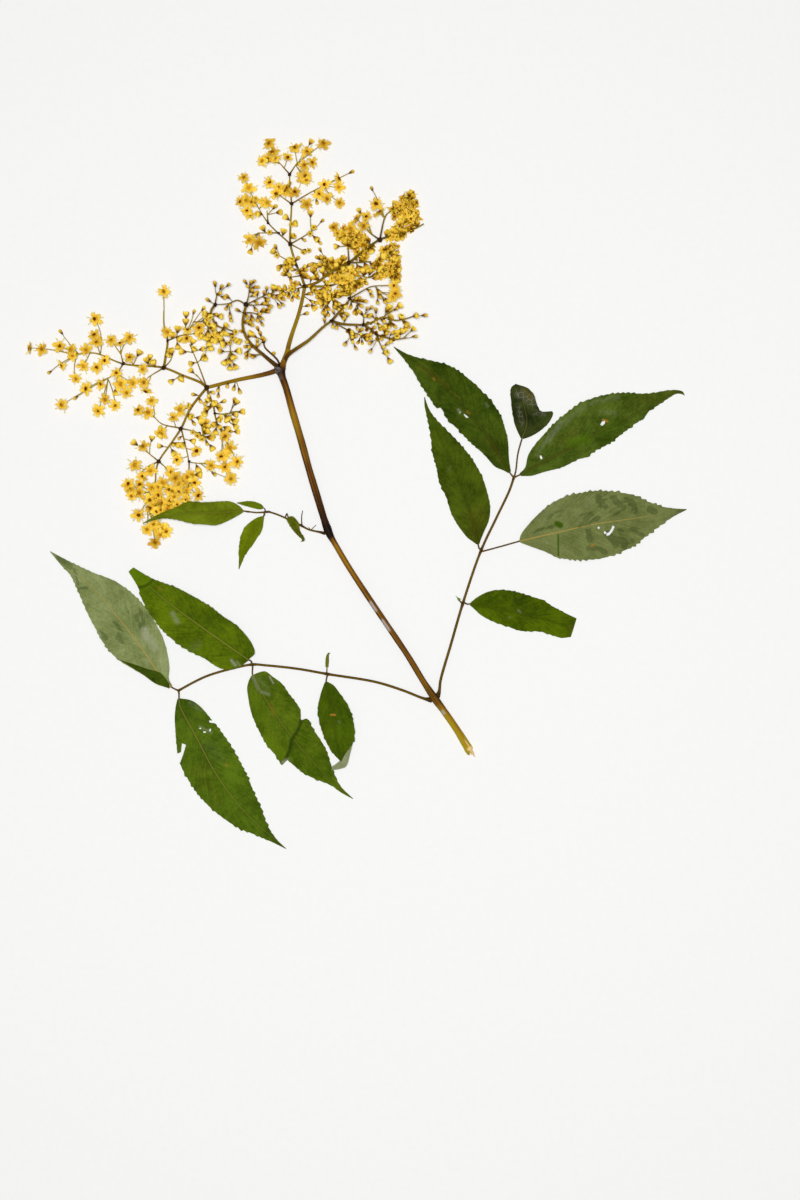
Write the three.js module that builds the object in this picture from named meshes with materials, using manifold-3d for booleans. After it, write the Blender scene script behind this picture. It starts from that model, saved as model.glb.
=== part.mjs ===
// A pressed and dried sprig of American elder in flower, lying on its back on a flat surface:
// a cut stem, a five-rayed flower head and three compound leaves.
// Millimetres, +Z up. The origin is on the surface under the middle of the sprig's box,
// +Y runs from the leaf tips towards the top of the flower head, and +X to the sprig's right.
import * as THREE from "three";
import Module from "manifold-3d";

const wasm = await Module();
wasm.setup();

// ---- driving dimensions, mm ----
const BLADE_THICKNESS = 0.6; // every leaflet's blade
const TOOTH_PITCH = 7; // of the saw teeth along a leaflet's edge
const TOOTH_DEPTH = 0.8;
const TOOTH_LEAN = 0.7; // how far along its pitch a tooth's point stands
const VEIN_COLUMN = 0.55; // where the row of corners between rib and edge stands
const BLADE_ENDS = [0.7, 0.25]; // half the width of a blade where it starts and at its tip
const LEAF_STALK_RADIUS = 0.45;
const LEAF_STALK_SUNK = 2; // length of leaflet stalk that runs on under the rib
const LEAF_STALK_SIDES = 3;
const PETAL_REACH = 2.6; // heart of a flower to the tip of a petal
const NOTCH_REACH = 0.52; // as a share of the reach, between two petals
const PETALS = 5;
const BUD_RADIUS = 0.8;
const BUD_LENGTH = 1.9;
const FLOWER_STALK_RADIUS = 0.32;
const RAY_RADII = [0.85, 0.65]; // of a flower head's ray, at its root and its end
const BRANCH_RADII = [0.6, 0.5];
const LOW_LAYER = 0.9; // height of the stalks in the sprays that lie underneath
const HIGH_LAYER = 3.5; // and in the two that cross over them
const FLOWER_RISE = [0.9, 0.9]; // least height of a flower over its layer, and what varies
const FORK_HEIGHT = 1.3; // of the rays' roots, round the knob on the stem's head
const STEM_HEIGHT = 2.6;
const RACHIS_HEIGHT = 0.95; // of the middle of each compound leaf's own stalk
const FORWARD_SLIDE = 0.55; // how far back along its branch a flower's stalk starts, per mm of gap
const FLOWER_SPACING = 3.2; // a flower that crowds another closer than this is left out
const BUD_SPACING = 3.6;

const COLOURS = {
  stem: 0x6f5732,
  rachis: 0x76683a,
  leaf: 0x3d4f1e,
  underside: 0x75865f,
  flowers: 0xa8812f,
};

// ---- small tools ----
// The same draws every time: a 32-bit mixing generator.
function seeded(seed) {
  let state = seed;
  return () => {
    state = (state + 0x6d2b79f5) | 0;
    let mixed = Math.imul(state ^ (state >>> 15), 1 | state);
    mixed = (mixed + Math.imul(mixed ^ (mixed >>> 7), 61 | mixed)) ^ mixed;
    return ((mixed ^ (mixed >>> 14)) >>> 0) / 4294967296;
  };
}

const UP = new THREE.Vector3(0, 0, 1);
const at = ([x, y], z) => new THREE.Vector3(x, y, z);
const mix = THREE.MathUtils.lerp;

// Closed triangles as a solid that can be joined and cut.
function solidOf(corners, faces) {
  return new wasm.Manifold(
    new wasm.Mesh({
      numProp: 3,
      vertProperties: new Float32Array(corners.flatMap((c) => [c.x, c.y, c.z])),
      triVerts: new Uint32Array(faces.flat()),
    }),
  );
}

// A ring of corners round a centre, square to the way ahead, with one radius for each corner.
// Height is squeezed or stretched by `squash`.
function ring(centre, ahead, radii, squash = 1) {
  const across = new THREE.Vector3().crossVectors(UP, ahead).normalize();
  const over = new THREE.Vector3().crossVectors(ahead, across).normalize();
  return radii.map((radius, k) => {
    const turn = (2 * Math.PI * k) / radii.length;
    return centre
      .clone()
      .addScaledVector(across, radius * Math.cos(turn))
      .addScaledVector(over, radius * squash * Math.sin(turn));
  });
}

// A closed skin over a row of rings, which may have different numbers of corners.
// A ring of one corner is a point. The two end rings are closed with fans.
function skin(rings) {
  const corners = rings.flat();
  const starts = rings.map((_, i) => rings.slice(0, i).flat().length);
  const faces = [];
  for (let level = 0; level + 1 < rings.length; level++) {
    const near = rings[level].length;
    const far = rings[level + 1].length;
    let i = 0;
    let j = 0;
    while (i < near || (j < far && far > 1)) {
      const a = starts[level] + (i % near);
      const b = starts[level + 1] + (j % far);
      const stepNear = i < near && (far === 1 || (i + 1) / near <= (j + 1) / far);
      if (stepNear) faces.push([a, starts[level] + ((i + 1) % near), b]);
      else faces.push([a, starts[level + 1] + ((j + 1) % far), b]);
      if (stepNear) i++;
      else j++;
    }
  }
  const last = starts.at(-1);
  for (let k = 1; k + 1 < rings[0].length; k++) faces.push([0, k + 1, k]);
  for (let k = 1; k + 1 < rings.at(-1).length; k++) faces.push([last, last + k, last + k + 1]);
  return solidOf(corners, faces);
}

// A tapering stalk along a path, with a radius for each of its points.
function stalk(path, radii, sides, squash = 1) {
  const ends = path.length - 1;
  return skin(
    path.map((point, i) => {
      const ahead = path[Math.min(i + 1, ends)].clone().sub(path[Math.max(i - 1, 0)]);
      return ring(point, ahead.normalize(), Array(sides).fill(radii[i]), squash);
    }),
  );
}

// The radii of a stalk that narrows evenly from its first point to its last.
const tapered = ([root, end], count) =>
  Array.from({ length: count }, (_, i) => mix(root, end, i / (count - 1)));

// Many solids in one: any hollow that the joining seals is filled and loose scraps are dropped.
function joined(solids) {
  const bodies = wasm.Manifold.union(solids).decompose();
  return bodies.reduce((best, body) => (body.volume() > best.volume() ? body : best));
}

const sprig = new THREE.Group();

function addPiece(name, colour, solid) {
  const made = solid.getMesh();
  const geometry = new THREE.BufferGeometry();
  geometry.setAttribute("position", new THREE.BufferAttribute(made.vertProperties, 3));
  geometry.setIndex(new THREE.BufferAttribute(made.triVerts, 1));
  const material = new THREE.MeshStandardMaterial({ color: colour, roughness: 0.8 });
  material.side = THREE.DoubleSide;
  const mesh = new THREE.Mesh(geometry, material);
  mesh.name = name;
  sprig.add(mesh);
}

// ---- stem: flat underneath, swollen at its two joints and at its head ----
// Each station is x, y and the stem's width there.
const STEM = [
  [-28.5, 48.2, 2.2], [-28.4, 46.4, 4.0], [-27.6, 43.6, 3.4], [-26.3, 39.7, 2.9],
  [-23.7, 30.4, 2.9], [-20.7, 20.2, 3.0], [-17.6, 8.9, 3.0], [-14.5, -1.4, 3.0],
  [-11.9, -9.6, 3.2], [-10.6, -14.2, 4.0], [-8.3, -18.8, 2.5], [-3.2, -27.6, 2.5],
  [4.0, -38.4, 2.8], [11.2, -49.1, 2.9], [19.4, -60.9, 2.8], [25.5, -71.2, 3.1],
  [29.7, -77.2, 4.0], [32.7, -81.5, 2.9], [37.9, -89.2, 2.9], [42.4, -96.6, 3.6],
];
const STEM_SIDES = 6; // an even ring that starts sideways has a flat side down
const FLAT_SIDE = Math.sin(Math.PI / 3); // height of a six-sided ring's flat side, per radius

function stemSolid() {
  const path = STEM.map((station) => at(station, STEM_HEIGHT / 2));
  const rings = path.map((point, i) => {
    const ahead = path[Math.min(i + 1, path.length - 1)].clone();
    ahead.sub(path[Math.max(i - 1, 0)]).normalize();
    const radius = STEM[i][2] / 2;
    const squash = STEM_HEIGHT / 2 / FLAT_SIDE / radius;
    return ring(point, ahead, Array(STEM_SIDES).fill(radius), squash);
  });
  return skin(rings);
}

// ---- stalks of the three compound leaves, with the twigs whose leaflets are lost ----
// Each run is its radii, root to end, and its points.
const RACHISES = {
  left: [
    [[0.95, 0.75], [25.6, -77.0], [17.3, -73.8], [7.1, -70.7], [-10.6, -67.8], [-22, -65.8],
      [-34, -64.5], [-38.8, -64.2], [-47.6, -66.0], [-55.6, -68.4], [-60.4, -70.6], [-66.6, -74.0]],
  ],
  right: [
    [[0.9, 0.7], [31.2, -74.3], [31.7, -70.2], [35.5, -57], [40, -41.5], [46.8, -21.7],
      [53, -8.5], [57.6, 1.2], [59.2, 5.9]],
    [[0.5, 0.35], [39.9, -41.5], [38.7, -40.2], [36.4, -39.7], [35.0, -39.7]],
  ],
  small: [
    [[0.6, 0.5], [-13.3, -14.6], [-17.9, -13.5], [-20.5, -12.1], [-25.9, -9.5],
      [-29.6, -7.9], [-33.0, -6.8]],
    [[0.5, 0.4], [-32.4, -6.9], [-37.1, -7.2], [-40.2, -6.9]],
    [[0.35, 0.3], [-20.3, -12.2], [-20.4, -8.7], [-20.0, -6.5]],
    [[0.35, 0.3], [-17.0, -13.8], [-18.4, -11.6]],
    [[0.35, 0.3], [-16.9, -13.8], [-15.3, -11.4]],
  ],
};
const RACHIS_SIDES = 5;
const TWIG_SIDES = 3;

function rachisSolid(runs) {
  return joined(
    runs.map(([radii, ...points], i) => {
      const path = points.map((point) => at(point, RACHIS_HEIGHT));
      return stalk(path, tapered(radii, path.length), i ? TWIG_SIDES : RACHIS_SIDES);
    }),
  );
}

// ---- leaflets ----
// stalk: its own stalk, ending where the blade begins. rib: places on the midrib between there
// and the tip. left, right: the edges, seen with the tip ahead. heights: of the underside at the
// base and at the tip. arch: how far the middle stands up. wave: how far the edges rise and fall.
// bites: torn places.
const LEAFLETS = {
  left_leaflet_1: {
    stalk: [[-67.9, -73.4], [-69.3, -72.6]], tip: [-114.8, -21.8], colour: "underside",
    rib: [[-74.4, -66.8], [-81.6, -56.4], [-90, -45.6], [-97.6, -36.4]],
    left: [[-74.8, -71.6], [-80, -68], [-89.6, -62], [-94.8, -56], [-97.2, -51.6], [-100, -46.4],
      [-102.8, -40], [-104.8, -35.2], [-107.6, -30], [-110, -27.6]],
    right: [[-70.2, -69.6], [-70, -65.6], [-70.8, -60], [-72.4, -54.4], [-74.8, -49.6],
      [-78, -44.4], [-82, -39.6], [-86, -36], [-90.8, -32.8], [-98, -30], [-104.8, -27]],
    heights: [0.6, 0], arch: 0.9, wave: 0.5,
  },
  left_leaflet_2: {
    stalk: [[-39.3, -63.0], [-40.2, -62.4]], tip: [-84.6, -28.8], colour: "leaf",
    rib: [[-48, -57], [-60, -48.5], [-72, -39.5]],
    left: [[-44.4, -65.4], [-50, -65.8], [-57.2, -61.6], [-62, -59.2], [-67.6, -55.6],
      [-72.4, -51.2], [-75.6, -47.2], [-80, -40], [-81.6, -35.2]],
    right: [[-37.9, -60], [-38.8, -56.8], [-41.2, -53.2], [-45.2, -49.2], [-50, -46],
      [-54.8, -42.4], [-60, -39.2], [-66.8, -35.6], [-70, -34.4], [-76.4, -32]],
    heights: [2.0, 1.8], arch: 0.8, wave: 0.5,
  },
  left_leaflet_3: {
    stalk: [[-66.4, -75.3], [-66.4, -77.0]], tip: [-26.2, -133.4], colour: "leaf",
    rib: [[-66.0, -79.8], [-60.4, -90.4], [-53.2, -104], [-46, -114.4], [-38, -123.2]],
    left: [[-62, -77.6], [-58.8, -79.6], [-55.6, -83.2], [-50, -90.4], [-46.8, -95.2],
      [-43.6, -100.8], [-40.4, -107.2], [-38, -113.2], [-35.6, -118.4], [-33.2, -124.8],
      [-30, -129.6]],
    right: [[-67.6, -80], [-68, -84], [-67.8, -88], [-67.4, -92.8], [-66.9, -97.8],
      [-65.9, -101.5], [-62, -108.8], [-57.6, -114.8], [-51.6, -120.4], [-44.4, -125.2],
      [-38, -128], [-31.6, -130.8]],
    heights: [0.5, 0], arch: 0.9, wave: 0.6,
    bites: [[[-65.1, -93.2], [-63.4, -93.9], [-64.6, -98.4], [-65.8, -102.0], [-65.9, -97.0]]],
  },
  left_leaflet_4: {
    stalk: [[-38.8, -65.5], [-38.8, -68.2]], tip: [-1.2, -114.6], colour: "leaf",
    rib: [[-34, -77], [-27, -87.5], [-19, -97.5], [-10, -107]],
    left: [[-36.5, -67.2], [-34, -66.8], [-31.2, -68.8], [-28, -71.2], [-25.2, -75.2],
      [-22.4, -78.8], [-20, -83.0], [-18.4, -84.6], [-14, -91.6], [-11.6, -95.6], [-10, -100],
      [-8.4, -104.8], [-6, -109.6]],
    right: [[-40, -69.8], [-40.8, -72.8], [-40.4, -76.8], [-39.2, -82.4], [-37.6, -86.4],
      [-35.2, -91.2], [-32.8, -95.2], [-30, -98.4], [-27.6, -101.6], [-23.6, -101.8],
      [-19.6, -105], [-14, -107.6], [-9.2, -109.6], [-6, -112]],
    heights: [0.5, 0], arch: 0.7, wave: 0.5,
  },
  left_leaflet_5: {
    stalk: [[-11, -69.2], [-11.2, -70.8]], tip: [-4.6, -103.2], colour: "leaf",
    rib: [[-9, -80], [-8, -90]],
    left: [[-8.4, -72], [-6, -75.2], [-2.8, -80], [-1.2, -84.8], [-0.6, -88.8], [-1.0, -93.2],
      [-2.4, -98.5]],
    right: [[-13.2, -75.2], [-14.2, -80.8], [-13.2, -87.2], [-11.2, -92.8], [-9.3, -97.5],
      [-7.6, -101.8]],
    heights: [0.5, 2.2], arch: 0.5, wave: 0.4,
  },
  left_leaflet_6: {
    stalk: [[-10.9, -66.4], [-10.9, -65.2]], tip: [-9.6, -59.8], colour: "leaf",
    rib: [[-10.8, -62.5]], left: [[-11.4, -63], [-11.2, -61]], right: [[-10.2, -63], [-10.0, -61]],
    heights: [0.5, 0.4], arch: 0.2, wave: 0.1,
  },
  right_leaflet_1: {
    stalk: [[59.9, 8.2], [60.7, 14.7], [62.3, 20.6]], tip: [60, 41.1], colour: "leaf",
    rib: [[64, 26], [63, 33]],
    left: [[60, 24.7], [58.6, 30.9], [58.2, 34.8], [58.2, 39.6]],
    right: [[64.6, 21], [67.3, 22.3], [70.4, 24.6], [72.7, 27.1], [73.4, 30.2], [69.4, 31.2],
      [67.7, 34], [66.8, 36.7], [64.6, 39.4]],
    heights: [0.6, 0], arch: 0.9, wave: 0.8,
  },
  right_leaflet_2: {
    stalk: [[57.6, 7.2], [56.4, 9.0]], tip: [14.2, 54.9], colour: "leaf",
    rib: [[49.1, 21.7], [39.8, 32.5], [29.8, 43.3]],
    left: [[55.3, 8.6], [52.2, 10], [48.3, 14.3], [42.9, 19.3], [38.3, 24], [34.4, 27.8],
      [31.7, 31.4], [28.6, 34.6], [25.9, 38.5], [23.6, 42.1], [20.5, 47.2]],
    right: [[57.4, 12.5], [56.9, 20.1], [55.7, 24.7], [54.2, 29], [50.7, 34.4], [47.6, 37.7],
      [44.5, 41], [39.8, 44.7], [35.2, 47.6], [30.6, 49.1], [24.4, 50.5], [19.7, 52]],
    heights: [0.9, 0.9], arch: 0.8, wave: 0.5,
  },
  right_leaflet_3: {
    stalk: [[60.6, 6.6], [62.2, 7.3]], tip: [123.4, 37.1], colour: "leaf",
    rib: [[75, 14.2], [90, 22.4], [105, 29.8], [114, 35]],
    left: [[63.4, 9.6], [64.6, 14.3], [67.7, 18.9], [71.6, 23.2], [75.4, 27.1], [80.1, 30.9],
      [84.7, 34], [89.3, 35.7], [94, 37], [100.2, 37.6], [109.8, 37.4], [115.6, 38.3],
      [120.3, 38.8]],
    right: [[65.8, 6.6], [70.8, 8.1], [77.7, 10], [83.2, 12.8], [88.2, 15.1], [92.4, 17.4],
      [96.3, 19.7], [100.2, 22.8], [104.8, 26.3], [107.9, 28.2], [109.8, 30.8], [112.9, 32.9],
      [116.4, 35.2], [120.3, 37.1]],
    heights: [0.6, 0], arch: 1.0, wave: 0.6,
  },
  right_leaflet_4: {
    stalk: [[46.0, -20.0], [45.6, -18.4]], tip: [25.7, 35.0], colour: "leaf",
    rib: [[42, -5], [36.5, 10], [30.5, 23]],
    left: [[43.7, -18.0], [41.8, -16.6], [39.1, -13.2], [37.1, -10.1], [35.6, -7], [34, -1.6],
      [31.2, 4.6], [30.2, 10], [28.6, 15.9], [28.2, 20.9], [27.1, 27.1]],
    right: [[46.8, -17.4], [47.9, -14.7], [49.4, -10.1], [50.1, -5.4], [49.1, 0], [47.6, 5.4],
      [45.3, 10], [42.5, 14.3], [37.5, 20.1], [32.9, 24.7], [29, 29]],
    heights: [0.5, 0], arch: 0.6, wave: 0.3,
  },
  right_leaflet_5: {
    stalk: [[48.5, -21.4], [53.8, -19.6], [61.5, -17.8]], tip: [124.1, -6], colour: "underside",
    rib: [[76.2, -14.5], [89.3, -11.6], [99.4, -10.1], [110.2, -8.5]],
    left: [[61.9, -15.5], [63.8, -12.8], [67.7, -8.5], [72.3, -4.6], [76.2, -2.3], [80.1, -0.9],
      [84.7, 0.1], [90.1, 0.8], [96.3, 0.5], [100.9, 0], [104.8, -1], [109.4, -3.1], [114.9, -5]],
    right: [[64.6, -19.6], [67.7, -20.7], [72.3, -22.4], [75.4, -24], [80.1, -24.6],
      [84.7, -24.8], [91.7, -24.4], [97.1, -22.8], [102.5, -20.5], [105.6, -18.6],
      [109.8, -15.1], [114.1, -12], [118.7, -8.9]],
    heights: [0.6, 0], arch: 0.9, wave: 0.6,
  },
  right_leaflet_6: {
    stalk: [[41.6, -41.5], [42.9, -41.5]], tip: [80.6, -50.6], colour: "leaf",
    rib: [[52, -43], [66, -46]],
    left: [[45.3, -39.1], [49.1, -37.1], [53.4, -36.3], [59.2, -36.8], [64.6, -38.4],
      [70, -40.1], [73.9, -42.5], [78.5, -44.9], [82.4, -47.2]],
    right: [[44.5, -43.5], [46.8, -45.6], [51.4, -48], [56.9, -49.9], [61.5, -51.5],
      [69.2, -52], [73.1, -53.1], [77.4, -54.3]],
    heights: [0.6, 0], arch: 0.8, wave: 0.6,
  },
  small_leaflet_1: {
    stalk: [[-41.1, -6.8], [-42.4, -6.6]], tip: [-79.5, -11.3], colour: "leaf",
    rib: [[-54, -7.4], [-66, -7.9]],
    left: [[-43.5, -7.9], [-46.7, -9.7], [-49.9, -11.2], [-52.5, -12], [-57.3, -11.7],
      [-61.6, -11.3], [-67.5, -9.8], [-73.3, -9.6]],
    right: [[-43.5, -4.9], [-45.6, -3.6], [-47.7, -3.0], [-52, -3.2], [-57.3, -3.5],
      [-62.7, -3.3], [-68, -5.7], [-74.4, -8.3]],
    heights: [0.7, 3.9], arch: 0.9, wave: 0.2,
  },
  small_leaflet_2: {
    stalk: [[-34.2, -5.9], [-34.9, -5.4]], tip: [-44.6, -3.6], colour: "leaf",
    rib: [[-39, -4.2]], left: [[-36.4, -6.0], [-39.7, -5.2]], right: [[-35.9, -3.9], [-40, -3.0]],
    heights: [0.9, 1.6], arch: 0.3, wave: 0.1,
  },
  small_leaflet_3: {
    stalk: [[-34.4, -8.1], [-34.9, -8.8]], tip: [-44, -28.5], colour: "leaf",
    rib: [[-38.6, -15], [-42, -22]],
    left: [[-34.6, -9.9], [-35.2, -13.5], [-37.1, -16.7], [-39.2, -19.9], [-41.3, -22.5]],
    right: [[-36.9, -9.0], [-39.2, -10.4], [-41.3, -12.3], [-43.0, -15.5], [-43.9, -20.7],
      [-43.9, -24.7]],
    heights: [0.4, 0], arch: 0.6, wave: 0.3,
  },
  small_leaflet_4: {
    stalk: [[-25.9, -7.6], [-25.4, -9.0]], tip: [-20.0, -17.6], colour: "leaf",
    rib: [[-22.8, -13.2]],
    left: [[-23.7, -8.7], [-21.6, -11], [-20.8, -14.5]],
    right: [[-26.1, -9.6], [-25.3, -11.3], [-23.7, -13.7], [-21.8, -16]],
    heights: [1.9, 1.9], arch: 0.3, wave: 0.2,
  },
};

const curveThrough = (points) =>
  new THREE.CatmullRomCurve3(points.map((point) => at(point, 0)), false, "centripetal");

// Underside height where `along` runs 0 to 1 from base to tip and `out` 0 to 1 from rib to edge.
// The middle is arched, and the edges rise and fall: each term is never below the first one.
function bladeHeight({ heights, arch, wave }, along, out, side) {
  const run = mix(heights[0], heights[1], THREE.MathUtils.smoothstep(along, 0, 0.5));
  const crown = arch * Math.sin(Math.PI * along) * (1 - out * out);
  const ripple = (wave * out * (1 - Math.cos(2 * Math.PI * (2.5 * along + 0.3 * side)))) / 2;
  return run + crown + ripple * Math.sin(Math.PI * along);
}

// A toothed blade: rows of corners from edge to edge, with a tooth between each two rows. Both
// faces hold the same triangles, one thickness apart.
function leafletSolid(leaf) {
  const base = leaf.stalk.at(-1);
  const heading = at(leaf.rib[0], 0).sub(at(base, 0)).normalize();
  const leftward = new THREE.Vector3().crossVectors(UP, heading);
  const beside = ([x, y], side, reach) => [
    x + leftward.x * side * reach,
    y + leftward.y * side * reach,
  ];
  const rib = curveThrough([base, ...leaf.rib, leaf.tip]);
  const edges = [1, -1].map((side) =>
    curveThrough([
      beside(base, side, BLADE_ENDS[0]),
      ...(side > 0 ? leaf.left : leaf.right),
      beside(leaf.tip, side, BLADE_ENDS[1]),
    ]),
  );
  const rows = Math.max(3, Math.round(rib.getLength() / TOOTH_PITCH));
  const corners = [];
  const corner = (place, along, out, side) => {
    place.z = bladeHeight(leaf, along, out, side);
    corners.push(place);
    return corners.length - 1;
  };
  // ribs[i], veins[side][i]: the inner corners. rims[side]: notch, tooth, notch, tooth ... notch.
  const ribs = [];
  const veins = [[], []];
  const rims = [[], []];
  for (let row = 0; row <= rows; row++) {
    const along = row / rows;
    ribs.push(corner(rib.getPointAt(along), along, 0, 0));
    edges.forEach((edge, k) => {
      const side = k ? -1 : 1;
      const notch = edge.getPointAt(along);
      const vein = rib.getPointAt(along).lerp(notch, VEIN_COLUMN);
      veins[k].push(corner(vein, along, VEIN_COLUMN, side));
      rims[k].push(corner(notch, along, 1, side));
      if (row === rows) return;
      const point = (row + TOOTH_LEAN) / rows;
      const tangent = edge.getTangentAt(point);
      const outward = new THREE.Vector3().crossVectors(UP, tangent).multiplyScalar(side);
      const grown = Math.min(1, 4 * Math.sin(Math.PI * point));
      const tooth = edge.getPointAt(point).addScaledVector(outward, TOOTH_DEPTH * grown);
      rims[k].push(corner(tooth, point, 1, side));
    });
  }
  const sheet = [];
  const face = (k, a, b, c) => sheet.push(k ? [a, b, c] : [a, c, b]);
  for (let row = 0; row < rows; row++) {
    [0, 1].forEach((k) => {
      const [vein, rim] = [veins[k], rims[k]];
      face(k, ribs[row], vein[row], vein[row + 1]);
      face(k, ribs[row], vein[row + 1], ribs[row + 1]);
      face(k, vein[row], rim[2 * row], rim[2 * row + 1]);
      face(k, vein[row], rim[2 * row + 1], vein[row + 1]);
      face(k, vein[row + 1], rim[2 * row + 1], rim[2 * row + 2]);
    });
  }
  const count = corners.length;
  const topCorners = corners.map((c) => c.clone().setZ(c.z + BLADE_THICKNESS));
  const outline = [
    ...rims[1],
    veins[1][rows], ribs[rows], veins[0][rows],
    ...rims[0].toReversed(),
    veins[0][0], ribs[0], veins[1][0],
  ];
  const walls = outline.flatMap((a, i) => {
    const b = outline[(i + 1) % outline.length];
    return [[a, b, b + count], [a, b + count, a + count]];
  });
  const blade = solidOf(
    [...corners, ...topCorners],
    [...sheet.map(([a, b, c]) => [a, c, b]), ...sheet.map((f) => f.map((v) => v + count)), ...walls],
  );
  const inner = rib.getPointAt(LEAF_STALK_SUNK / rib.getLength());
  const height = bladeHeight(leaf, 0, 0, 0) + BLADE_THICKNESS / 2;
  const path = [...leaf.stalk.map((point) => at(point, height)), inner.setZ(height)];
  const radii = Array(path.length).fill(LEAF_STALK_RADIUS);
  const whole = blade.add(stalk(path, radii, LEAF_STALK_SIDES));
  return (leaf.bites ?? []).reduce((kept, bite) => joined([kept.subtract(tearSolid(bite))]), whole);
}

// What a torn place takes out of a blade: its outline, carried right through.
function tearSolid(points) {
  const ends = [-1, 9].map((z) => points.map((point) => at(point, z)));
  const clockwise = THREE.ShapeUtils.isClockWise(points.map(([x, y]) => new THREE.Vector2(x, y)));
  return skin(clockwise ? ends.map((row) => row.toReversed()) : ends);
}

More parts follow.
